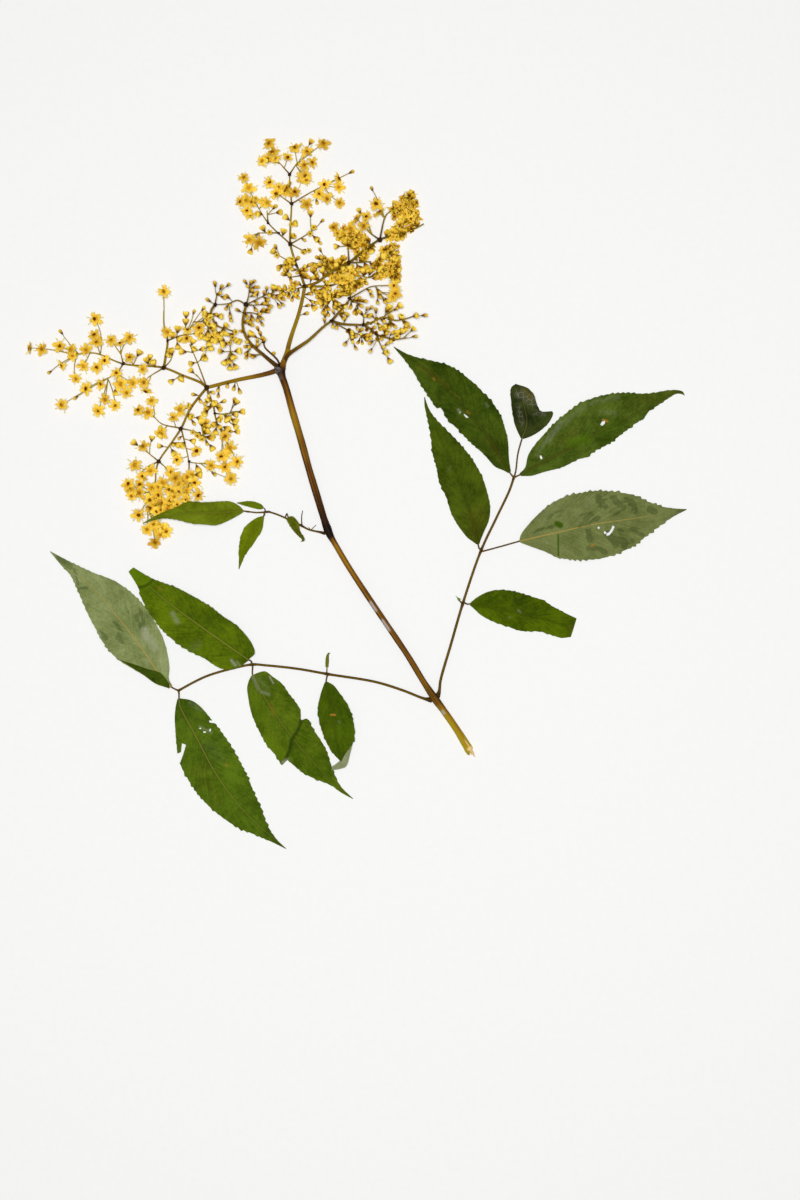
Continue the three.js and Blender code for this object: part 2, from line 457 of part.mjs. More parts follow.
// ---- flower head ----
// Each spray is one ray of the head. ray and branches: runs of points, each branch starting on
// what is already there. flowers, buds: their places. Every flower and bud then grows its own
// stalk from the nearest part of the spray.
const SPRAYS = {
  left_spray: {
    layer: LOW_LAYER,
    ray: [[-31.2, 45.6], [-34.7, 44.6], [-44.8, 42.5], [-56, 39.7]],
    branches: [
      [[-56, 39.7], [-58.2, 41.5], [-64.9, 44.2], [-72.1, 47.1], [-87.3, 48.6], [-98, 52.6],
        [-105, 52.1]],
      [[-87.3, 48.6], [-88.5, 53.5]],
      [[-87.3, 48.6], [-89.9, 45], [-94.2, 42.7]],
      [[-72.1, 47.1], [-78, 43.6]],
      [[-72.1, 47.1], [-71.3, 52], [-70.7, 57.3], [-72, 63.1], [-72.1, 68.5]],
      [[-70.7, 57.3], [-65.3, 59.3], [-60, 59.9]],
      [[-72.1, 47.1], [-69.7, 49.7], [-68.7, 52.2]],
      [[-56, 39.7], [-59.5, 49.1], [-62.4, 55.8]],
      [[-56, 39.7], [-59.9, 44.6]],
      [[-56, 39.7], [-55.3, 37.3], [-53.5, 32.8], [-53, 30], [-52.2, 26]],
      [[-53, 30], [-48.7, 29.5]],
      [[-56, 39.7], [-62.1, 31.8], [-65.6, 24.4], [-68.9, 19.4], [-74, 12], [-75.1, 8],
        [-75.3, 4.3], [-76.9, 0.7], [-79.1, -4.1]],
      [[-65.6, 24.4], [-72.9, 26.1], [-76, 29]],
      [[-65.6, 24.4], [-60.1, 23], [-57.1, 21.2]],
      [[-65.6, 24.4], [-63, 13.9], [-62.6, 12], [-57.1, 11.1]],
      [[-62.6, 12], [-62.6, 8], [-62, 3]],
      [[-74, 12], [-78.4, 15.5]],
      [[-74, 12], [-77.7, 10.2], [-81, 7.6]],
      [[-74, 12], [-71.1, 9.5]],
    ],
    flowers: [
      [-122.2, 54.4], [-117.6, 54.1], [-110.8, 55.1], [-106.6, 53.7], [-101.1, 53.6],
      [-97.7, 65.3], [-98.2, 59.3], [-97.2, 56.5], [-91.7, 57.3], [-88.5, 56.1], [-84.9, 58.2],
      [-84.7, 50.8], [-110.1, 47.9], [-102.1, 47.7], [-97, 47.2], [-94.2, 49.7], [-105, 43],
      [-100.9, 39.2], [-110.1, 33.1], [-95.6, 41], [-89.9, 45], [-94, 35.1], [-96.6, 30.9],
      [-90.3, 32.9], [-88.2, 41], [-83.8, 41.3], [-86, 37.6], [-79.5, 41.6], [-78.7, 38.4],
      [-82.2, 47.9], [-79.8, 46.5], [-72, 75.5], [-63.7, 58.5], [-58, 60], [-54.2, 57.9],
      [-70.8, 60], [-67, 62.1], [-77.9, 30.2], [-81.5, 31], [-76.6, 34.5], [-68.5, 28.2],
      [-65.7, 31.4], [-73.1, 22.7], [-54.4, 10.4], [-49.2, 9.8], [-44.5, 11.7], [-50.5, 13.9],
      [-47.4, 17.1], [-46.8, 5.4], [-59.9, 15.9], [-63.1, 6], [-60.7, 4], [-63.5, 1.1],
      [-59.1, -0.7], [-63.6, -2.5], [-67, 12.6], [-79.7, 17.5], [-82.8, 10.5], [-80, 6.3],
      [-77.1, 8.6], [-84.6, 1.6], [-81.1, 0.2], [-84, -1], [-80.9, 3.2], [-69.4, 8.1],
      [-67.5, 5.7], [-66.3, 3.7], [-68.8, 0.8], [-72.5, 3.9], [-74.6, 2.4], [-75, -1.9],
      [-77.2, -2.5], [-73, -3.7], [-77.3, -5.5], [-74.9, -6.8], [-70.3, -4.7], [-68.2, -1.5],
      [-81.3, -8], [-78.2, -13.4], [-72.5, -13], [-75.8, -11.6], [-75.2, -18.2],
    ],
    buds: [
      [-80, 51.7], [-76, 51], [-77.3, 49.3], [-76, 48.3], [-90, 37.8], [-69.1, 42.3],
      [-65.7, 43.4], [-110.6, 60.3], [-114.6, 45.6], [-104.8, 36], [-66.8, 54.5], [-64.7, 52.8],
      [-69.1, 53.9], [-66.8, 57.9], [-60.5, 53.7], [-57.8, 52.2], [-56.5, 50.5], [-54.2, 54.3],
      [-61.1, 45.9], [-61.8, 48.8], [-47.5, 43.9], [-47.3, 46.3], [-46, 47.2], [-47.7, 40.4],
      [-43.5, 38.5], [-51.9, 39], [-51.5, 36.9], [-54, 37.9], [-57.4, 41.1], [-60.5, 37.1],
      [-55.8, 33.5], [-55.3, 32], [-56.8, 30], [-43.2, 30.8], [-45.2, 29.5], [-45.7, 27],
      [-48, 28], [-57.9, 26.7], [-55.7, 26], [-57.3, 24.1], [-52.5, 24.1], [-54, 21.2],
      [-48.3, 24.5], [-48.9, 21.7], [-44.8, 22.8], [-50.9, 27.4], [-62.3, 32.8], [-59, 22.1],
      [-57.5, 21], [-56, 19], [-53.8, 17.5], [-61, 19.7], [-60.8, 26.5], [-53.1, 7.3],
      [-59.7, 9.1], [-66.1, 21.2], [-68.5, 18.3], [-65, 18.3], [-68.3, 15], [-82.8, 18.6],
      [-76.6, 20.6], [-73.4, 17.2],
    ],
  },
  inner_left_spray: {
    layer: HIGH_LAYER,
    ray: [[-30.6, 48.5], [-34.7, 51.8], [-39.7, 56.4], [-41.8, 60.2], [-42.3, 63.1],
      [-41.8, 67.3], [-41, 70.5]],
    branches: [
      [[-41, 70.5], [-40.1, 74], [-39.9, 77.0]],
      [[-41, 70.5], [-37.2, 72.4], [-33.4, 74.3], [-30.5, 75.1]],
      [[-41, 70.5], [-38.5, 70.3], [-35.5, 70.5]],
      [[-41.8, 67.3], [-39.3, 67.5], [-36.8, 66.9]],
      [[-41, 70.5], [-44.3, 72.1], [-47.7, 70.9], [-52.7, 70.5]],
      [[-52.7, 70.5], [-51.9, 74.9]],
      [[-52.7, 70.5], [-56.9, 64.6], [-61, 64]],
      [[-56.9, 64.6], [-54.8, 61.4]],
      [[-52.7, 70.5], [-54.2, 67.7], [-51.9, 62.7], [-47.7, 61.2], [-45.6, 60.4]],
      [[-45.6, 60.4], [-47, 56], [-46.8, 52]],
    ],
    flowers: [
      [-52.7, 78], [-50.2, 76.8], [-47.9, 77.4], [-49.6, 73.2], [-47.1, 66.1], [-50.4, 65.8],
      [-53, 62.7], [-49, 62.7], [-46.4, 59.8], [-44.3, 57.7], [-49.4, 59.2], [-47.3, 56.4],
      [-51.1, 54.1], [-46, 50.9],
    ],
    buds: [
      [-41.2, 78.9], [-39.3, 78.8], [-37.9, 78.0], [-38.5, 73.8], [-37, 74.7], [-34.5, 76.0],
      [-32.6, 76.4], [-31.1, 73.4], [-28.6, 75.8], [-33.6, 72.2], [-32.2, 69.6], [-33, 68],
      [-37.8, 68.8], [-35.9, 65.2], [-35.3, 63.5], [-39.3, 64], [-38.9, 65.6], [-43.9, 68],
      [-43.9, 72.9], [-51.3, 74.5], [-55.1, 71.7], [-47.9, 69.0], [-46.4, 64.4], [-52.7, 66.7],
      [-57.2, 69.2], [-57.6, 66.4], [-60.7, 68], [-63.7, 66.7], [-64.3, 64.2], [-60.7, 62.2],
      [-56.6, 60.6], [-54.2, 59.4], [-42.7, 60.8], [-44.1, 53], [-48.5, 49], [-45, 47.4],
      [-40.6, 54.7], [-37, 56.6], [-38.5, 51.2], [-41, 51.6],
    ],
  },
  top_spray: {
    layer: LOW_LAYER,
    ray: [[-27.4, 49.3], [-25.9, 51.6], [-24, 57.2], [-21.7, 66.5], [-20, 73.2], [-19.2, 77.6]],
    branches: [
      [[-19.2, 77.6], [-20.6, 81.7], [-22.3, 85.5], [-24.6, 93.5], [-24.6, 100.2],
        [-24.2, 108.6], [-24.8, 114.9], [-24.9, 119.7]],
      [[-24.9, 119.7], [-29, 124.3]],
      [[-24.9, 119.7], [-21.9, 124.3]],
      [[-24.2, 108.6], [-29, 112]],
      [[-24.2, 108.6], [-17.2, 112.8], [-12.2, 115.5]],
      [[-24.6, 93.5], [-33, 101.5], [-37.4, 108.6], [-39.5, 112.8]],
      [[-33, 101.5], [-33.4, 106.1]],
      [[-29, 97.7], [-37.0, 97.7]],
      [[-24.6, 93.5], [-19.3, 96.6], [-15.1, 99.4]],
      [[-24.6, 93.5], [-19.3, 91], [-17.2, 91]],
      [[-22.3, 85.5], [-29.4, 89.5]],
      [[-20.6, 81.7], [-25.6, 80.9]],
      [[-19.2, 77.6], [-24, 76.2], [-27.4, 75.0]],
      [[-19.2, 77.6], [-14.5, 79.1], [-10.3, 82.3], [-6.1, 84.7], [-2.6, 86.3], [2.3, 90.3],
        [8.9, 94.9], [14.9, 96.8], [22.4, 99.3], [25.4, 101]],
      [[8.9, 94.9], [11.2, 104], [13.5, 106.1]],
      [[8.9, 94.9], [4.9, 97.7]],
      [[-2.6, 86.3], [-3, 92.6]],
      [[-2.6, 86.3], [2.3, 86.5], [5.6, 86.8]],
      [[-19.2, 77.6], [-9.8, 77.9], [-6.5, 79.1], [-1.9, 82.0], [5, 80.8]],
      [[-9.8, 77.9], [-9.3, 72.6]],
    ],
    flowers: [
      [-30.3, 125.4], [-33, 125.6], [-31.1, 127.7], [-32.4, 130.9], [-35.1, 124.3],
      [-25.5, 125.8], [-18.5, 128.1], [-22.9, 129.6], [-12, 130.7], [-19.6, 123.5],
      [-16.6, 123.5], [-19.1, 118.5], [-29.6, 112.6], [-32.2, 116.2], [-25.6, 114.3],
      [-11.4, 115.3], [-6.3, 117.4], [-6.5, 114.2], [-13.7, 112.2], [-10.9, 110.5],
      [-18.3, 108.2], [-6.5, 108.8], [-39.9, 114.3], [-42.2, 118.5], [-41.4, 109.4],
      [-39.3, 108.3], [-40.3, 105.2], [-33.4, 109], [-36.6, 103.6], [-39.9, 95.2],
      [-36.1, 93.7], [-39.7, 90.7], [15.4, 107.1], [15.2, 109.3], [14.5, 104], [16.8, 103.8],
      [20.8, 110.4], [20.8, 108.0], [17.3, 101], [19.6, 102.8], [23.2, 103], [9.3, 105],
      [7, 108], [2.8, 99.8], [0.5, 102.6], [4, 103.6], [14, 98.9], [19.6, 98.7], [12.1, 95.9],
      [15.9, 95.0], [9.8, 91.2], [14.5, 92.1], [7.5, 92.6], [-5.6, 96.3], [-7.9, 99.6],
      [-1.9, 98.7], [-2.8, 95.6], [0.9, 95.5], [3.4, 93.9], [-0.9, 90.7], [6.1, 85.1],
      [7, 82.9], [8.9, 87.4], [12.4, 86.6], [13.5, 84], [12.1, 81.4], [14.9, 81.2],
      [9.3, 80.3], [2.8, 87.5], [4.2, 89.6], [-1.9, 82.8], [2.8, 82.3], [0.9, 79.1],
      [-4.7, 82.2], [-4.7, 78.6],
    ],
    buds: [
      [-16.8, 131.7], [-1.7, 120.4], [-14.5, 109.2], [-17.2, 105], [-28.2, 105.9],
      [-30.5, 106.9], [-22.5, 101.6], [-28.4, 102.6], [-22.2, 113.4], [-37.8, 96.0],
      [-33.0, 98.6], [-34.9, 99.4], [-27.3, 99.3], [-21.6, 97.2], [-12.6, 101.9],
      [-17.2, 97.0], [-14.2, 95.2], [-19.5, 94.2], [-17.4, 89.4], [-15.6, 92.0],
      [-30.1, 92], [-27.0, 91.0], [-19.8, 87.8], [-28.6, 84.2], [-26.3, 86.1], [-24, 87.0],
      [-23.1, 83.4], [-26.9, 79.0], [-24.4, 78.0], [-29.4, 77.0], [-28.6, 73.0],
      [-28.0, 70.9], [-23.8, 73.8], [6.2, 113.6], [1.4, 105.9], [17, 89.8], [-7.2, 92.1],
      [17.3, 83.7], [-13.5, 90.7], [-14.5, 88.2], [-12.4, 87.6], [-15.4, 86.0], [-18, 85.4],
      [-16.4, 83.2], [-13.0, 84.7], [-9.3, 86.2], [-6.6, 87.6], [-7.4, 80.9], [-12.2, 80.4],
      [-9.9, 72.2], [-8.2, 71.0], [-12.6, 70.8], [-16.3, 72.1], [-15.2, 69.2], [-18.7, 67.2],
      [-12.1, 74.6],
    ],
  },
  lower_right_spray: {
    layer: HIGH_LAYER,
    ray: [[-25.7, 48.7], [-23.7, 52.0], [-20.4, 55.8], [-16.2, 59.1], [-12, 62.7],
      [-9.1, 64.4]],
    branches: [
      [[-9.1, 64.4], [-7, 66.9], [-4.2, 70.2], [-2.3, 72.8], [-2.1, 76.7]],
      [[-2.3, 72.8], [1.9, 75.3], [5.6, 77.2], [11.0, 77.7]],
      [[-2.3, 72.8], [0.9, 70.7]],
      [[-9.1, 64.4], [-4.7, 63.2], [-0.5, 63], [2.8, 63], [6.5, 64.1], [10, 65.8],
        [14.9, 64.6], [18.2, 65.1], [21, 66]],
      [[2.8, 63], [3, 66.5]],
      [[2.8, 63], [5.6, 61.3], [7.5, 59.5], [11.7, 58.1], [15.2, 57.6], [19, 58.1]],
      [[7.5, 59.5], [9.3, 55.3], [10.7, 52.5]],
      [[-9.1, 64.4], [-2.8, 60.9], [1.9, 59]],
      [[-2.8, 60.9], [-2.3, 59], [-0.9, 56]],
    ],
    flowers: [
      [13.1, 77.7], [15.8, 77.9], [15.0, 74.4], [7.2, 79.3], [-2.1, 78.0], [12.5, 49.6],
      [22.2, 58.5], [5.6, 53.2],
    ],
    buds: [
      [12.6, 73.5], [5.4, 74.4], [8.9, 74.9], [2.8, 71.6], [1.4, 72.8], [-6.1, 73.2],
      [-4.4, 75.6], [-11.9, 66.5], [-12.4, 64.6], [-7, 69.3], [-5.1, 66.6], [-3.3, 65.2],
      [4.2, 68.9], [1.9, 67.4], [6.6, 67.2], [22.6, 67.4], [25.3, 66.5], [16.8, 66.5],
      [18.9, 63.1], [16.1, 69.7], [14.4, 68.2], [12.1, 69], [10.5, 72.1], [7.9, 71.6],
      [21.5, 61.9], [13.3, 62.7], [15.6, 60.2], [17.9, 60.6], [12.1, 60.2], [13.1, 55.9],
      [11.7, 54.7], [7.8, 55.2], [5.6, 57.6], [4.0, 58.9], [3.4, 60.4], [-0.2, 54.4],
      [-3.7, 56.6], [-1.0, 58.2], [0.6, 61.8],
    ],
  },
  small_spray: {
    layer: LOW_LAYER,
    ray: [[-29.2, 49.6], [-30.7, 51.4], [-34.1, 54.7], [-34.7, 56.8]],
    branches: [[[-34.7, 56.8], [-35.7, 58.4]]],
    flowers: [],
    buds: [[-35.7, 60.0], [-34.9, 61.8], [-33.4, 58.0], [-37.6, 59.6], [-32.0, 54.4]],
  },
};
const RAY_SIDES = 4;
const STALK_SIDES = 3;

// The nearest place on a spray's stalks to a point, in plan. Each limb is a straight run.
function nearestOn(limbs, [x, y]) {
  let best = { gap: Infinity };
  for (const { from, to } of limbs) {
    const run = to.clone().sub(from);
    const length = Math.hypot(run.x, run.y);
    const share = ((x - from.x) * run.x + (y - from.y) * run.y) / length ** 2;
    const held = THREE.MathUtils.clamp(share, 0, 1);
    const place = from.clone().addScaledVector(run, held);
    const gap = Math.hypot(x - place.x, y - place.y);
    if (gap < best.gap) best = { gap, place, from, run, length, held };
  }
  return best;
}

// Stalks for the flowers and buds: whichever is nearest to the spray comes next, and its stalk
// starts a little way back along its branch, so that it leans forward. Later ones may start from
// the lower half of it.
function growStalks(limbs, tips) {
  const waiting = tips.map((tip) => ({ tip, root: nearestOn(limbs, tip.place) }));
  const grown = [];
  while (waiting.length) {
    const next = waiting.reduce((a, b) => (b.root.gap < a.root.gap ? b : a));
    waiting.splice(waiting.indexOf(next), 1);
    const { place, from, run, length, held, gap } = next.root;
    const share = Math.max(0, held - (FORWARD_SLIDE * gap) / length);
    const root = gap > 0.5 ? from.clone().addScaledVector(run, share) : place;
    const end = at(next.tip.place, Math.max(next.tip.height, root.z + FLOWER_RISE[0]));
    grown.push({ ...next.tip, root, end });
    const limb = { from: root, to: root.clone().lerp(end, 0.5) };
    for (const other of waiting) {
      const found = nearestOn([limb], other.tip.place);
      if (found.gap < other.root.gap) other.root = found;
    }
  }
  return grown;
}

// A flower on its stalk: five petals in a shallow star, facing up and a little outwards.
function flowerSolid({ root, end, lean, reach }) {
  const out = end.clone().sub(root).normalize();
  const facing = new THREE.Vector3(out.x * lean, out.y * lean, 1).normalize();
  const slim = Array(STALK_SIDES).fill(FLOWER_STALK_RADIUS);
  const star = Array.from({ length: 2 * PETALS }, (_, k) => reach * (k % 2 ? NOTCH_REACH : 1));
  return skin([
    ring(root, out, slim),
    ring(end.clone().addScaledVector(facing, -0.6), facing, slim),
    ring(end, facing, star),
    [end.clone().addScaledVector(facing, 0.5)],
  ]);
}

// A closed bud on its stalk: a drop that points on along the stalk.
function budSolid({ root, end }) {
  const out = end.clone().sub(root).normalize();
  const along = (step) => end.clone().addScaledVector(out, step * BUD_LENGTH);
  const slim = Array(STALK_SIDES).fill(FLOWER_STALK_RADIUS);
  return skin([
    ring(root, out, slim),
    ring(along(-0.5), out, slim),
    ring(along(0.1), out, Array(4).fill(BUD_RADIUS)),
    [along(0.5)],
  ]);
}

// The places that keep their distance from all those kept before them.
function spaced(places, kept, spacing) {
  return places.filter(([x, y]) => {
    const free = kept.every(([keptX, keptY]) => Math.hypot(x - keptX, y - keptY) >= spacing);
    if (free) kept.push([x, y]);
    return free;
  });
}

function spraySolid({ layer, ray, branches, flowers, buds }, random) {
  const rayPath = ray.map((point, i) => at(point, i ? layer : FORK_HEIGHT));
  const solids = [stalk(rayPath, tapered(RAY_RADII, ray.length), RAY_SIDES)];
  const limbs = rayPath.slice(1).map((to, i) => ({ from: rayPath[i], to }));
  for (const branch of branches) {
    const path = branch.map((point) => at(point, layer));
    solids.push(stalk(path, tapered(BRANCH_RADII, path.length), STALK_SIDES));
    limbs.push(...path.slice(1).map((to, i) => ({ from: path[i], to })));
  }
  const kept = [];
  const open = spaced(flowers, kept, FLOWER_SPACING);
  const tips = [...open, ...spaced(buds, kept, BUD_SPACING)].map((place, i) => ({
    place,
    open: i < open.length,
    height: layer + FLOWER_RISE[0] + FLOWER_RISE[1] * random(),
    lean: mix(0.15, 0.5, random()),
    reach: PETAL_REACH * mix(0.88, 1.06, random()),
  }));
  for (const tip of growStalks(limbs, tips))
    solids.push(tip.open ? flowerSolid(tip) : budSolid(tip));
  return joined(solids);
}

// ---- the sprig ----
addPiece("stem", COLOURS.stem, stemSolid());
for (const [side, runs] of Object.entries(RACHISES))
  addPiece(side + "_leaf_stalk", COLOURS.rachis, rachisSolid(runs));
for (const [name, leaf] of Object.entries(LEAFLETS))
  addPiece(name, COLOURS[leaf.colour], leafletSolid(leaf));
Object.entries(SPRAYS).forEach(([name, spray], i) =>
  addPiece(name, COLOURS.flowers, spraySolid(spray, seeded(i + 1))),
);

export default sprig;
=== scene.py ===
"""A pressed and dried sprig of elderberry in flower, lying flat on a pale surface.

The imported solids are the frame. Each is replaced here by a finer piece in the same place: blades with
teeth, veins and torn places, round stalks, and a flower head of small golden flowers and buds.
Places and sizes are in millimetres until a piece is made: +X is to the sprig's right, +Y runs towards
the top of the flower head, and +Z is up from the surface.
"""

import math

import bpy
import numpy as np
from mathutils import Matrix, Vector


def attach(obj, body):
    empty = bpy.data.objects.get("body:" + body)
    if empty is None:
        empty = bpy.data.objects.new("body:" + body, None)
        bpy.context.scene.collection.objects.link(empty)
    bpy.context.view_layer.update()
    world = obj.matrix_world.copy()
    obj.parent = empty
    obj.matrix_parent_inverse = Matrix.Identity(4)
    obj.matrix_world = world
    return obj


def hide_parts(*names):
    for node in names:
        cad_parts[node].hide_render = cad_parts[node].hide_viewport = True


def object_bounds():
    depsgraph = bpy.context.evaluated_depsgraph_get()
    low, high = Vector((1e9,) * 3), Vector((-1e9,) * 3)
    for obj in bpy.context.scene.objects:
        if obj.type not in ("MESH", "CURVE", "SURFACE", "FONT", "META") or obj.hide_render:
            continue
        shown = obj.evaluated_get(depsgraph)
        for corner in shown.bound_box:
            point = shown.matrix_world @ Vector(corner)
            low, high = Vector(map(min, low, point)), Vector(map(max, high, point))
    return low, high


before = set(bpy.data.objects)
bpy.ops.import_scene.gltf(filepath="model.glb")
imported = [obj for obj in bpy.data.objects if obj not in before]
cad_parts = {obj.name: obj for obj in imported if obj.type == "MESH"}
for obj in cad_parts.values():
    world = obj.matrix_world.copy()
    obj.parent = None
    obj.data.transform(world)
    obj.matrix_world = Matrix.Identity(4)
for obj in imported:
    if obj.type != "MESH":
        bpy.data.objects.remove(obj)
cad_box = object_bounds()

MM = 0.001
SEED = 7
LEAF_SEED, SPRAY_SEED = SEED + 10, SEED + 50  # of the first leaflet and of the first ray

# ---- driving sizes, mm ----
CELL = 0.36  # of the grid over a leaflet
SMALL_CELL = 0.2  # and over the smallest ones
SHORT_LEAFLET = 16  # one that is no longer than this has the small cells
BLADE_LIFT = 0.15  # of a blade's underside over the height worked out for it
BLADE_THICKNESS = 0.26
SCRAP_THICKNESS = 0.22  # of a folded part or a torn scrap
LEAST_CLEARANCE = 0.02  # between the surface and the underside of a blade
TOOTH_PITCH = 2.3
TOOTH_LEAN = 0.72  # how far along its pitch a tooth's point stands
VEIN_PITCH = 5.2  # between two side veins, along the midrib
VEIN_SWEEP = 15.0  # how far forward a side vein runs on its way to the edge
BLADE_ENDS = (0.55, 0.12)  # half the width of a blade where it starts and at its tip
LEAF_STALK_RADIUS = 0.28
UNDER_RIB = 2.5  # how far a leaflet's stalk runs on under its midrib
RACHIS_HEIGHT = 0.95
STEM_HEIGHT = 2.6
STEM_MIDDLE = STEM_HEIGHT / 2
LOW_LAYER = 0.9  # height of the stalks in the sprays that lie underneath
HIGH_LAYER = 3.5  # and in the two that cross over them
FORK_HEIGHT = 1.3
TIP_RISE = (0.55, 1.1)  # least height of a flower over its layer, and what varies
HIGHEST = 6.0  # nothing stands higher than this when the sprig is pressed
FORWARD_SLIDE = 0.55  # how far back along its branch a flower's stalk starts, per mm of gap
SHORT_GAP = 0.5  # a stalk that bridges no more than this starts at the nearest place instead
LEAST_RISE = 0.35  # of a flower over the root of its stalk, outside the crowds
PETAL_REACH = 2.52  # heart of a flower to the tip of a petal
CUP_REACH = 1.42  # the same, for half-open flowers
BUD_RADIUS = 0.68
CROWD_HEIGHT = (0.5, 2.2)  # least height of a flower in a crowd, and what varies
MAIN_BRANCH = (0.5, 0.22)  # radius of a branch that has more than four places, root to tip
SIDE_BRANCH = (0.29, 0.16)  # and of the other branches
FLOWER_STALK = (0.18, 0.12)  # and of a flower's own stalk
STAMEN_RADIUS = 0.17
END_BULGE = 0.5  # how far a stalk's closed end stands out, as a share of its radius
SHARP_ANGLE = math.radians(62)  # between two faces whose shared edge stays crisp

# ---- where the pieces are ----
# The stem's stations: x, y and its width there.
STEM = [
  [-28.5, 48.2, 2], [-28.4, 46.4, 3.6], [-27.6, 43.4, 2.6], [-26.3, 39.7, 2.4], [-23.7, 30.4, 2.55],
  [-20.7, 20.2, 2.65], [-17.6, 8.9, 2.5], [-14.5, -1.4, 2.65], [-12, -9.6, 2.5], [-10.7, -13.4, 3.05],
  [-9.6, -16, 2.6], [-8.5, -17.9, 2.1], [-2.9, -27.4, 2.05], [4.2, -38.3, 2.1], [11.4, -49, 2.15],
  [19.4, -60.9, 2.15], [25.6, -71.1, 2.2], [29.7, -77.2, 2.9], [32.8, -81.4, 2.5], [38.1, -89.1, 2.6],
  [41.5, -94.6, 3.05], [42.5, -96.1, 3.15],
]

# Stalks of the three compound leaves: each run is its radii, root to end, and its points.
RACHISES = {
  "left": [
    [[0.46, 0.39], [25.6, -77], [17.3, -73.8], [7.1, -70.7], [-10.6, -67.8], [-22, -65.8], [-34, -64.5],
      [-38.8, -64.2], [-47.6, -66], [-55.6, -68.4], [-60.4, -70.6], [-66.6, -74]],
  ],
  "right": [
    [[0.47, 0.39], [31.2, -74.3], [31.7, -70.2], [35.5, -57], [40, -41.5], [46.8, -21.7], [53, -8.5],
      [57.6, 1.2], [59.2, 5.9]],
    [[0.28, 0.2], [39.9, -41.5], [39.2, -40.6], [38.4, -40]],
  ],
  "small": [
    [[0.34, 0.31], [-13.3, -14.6], [-17.9, -13.5], [-20.5, -12.1], [-25.9, -9.5], [-29.6, -7.9],
      [-33, -6.8]],
    [[0.31, 0.25], [-32.4, -6.9], [-37.1, -7.2], [-40.2, -6.9]],
    [[0.2, 0.14], [-20.3, -12.2], [-20.4, -8.7], [-20, -6.5]],
    [[0.12, 0.09], [-17, -13.7], [-17.8, -12.7]],
    [[0.14, 0.1], [-16.9, -13.7], [-15, -11.9]],
  ],
}

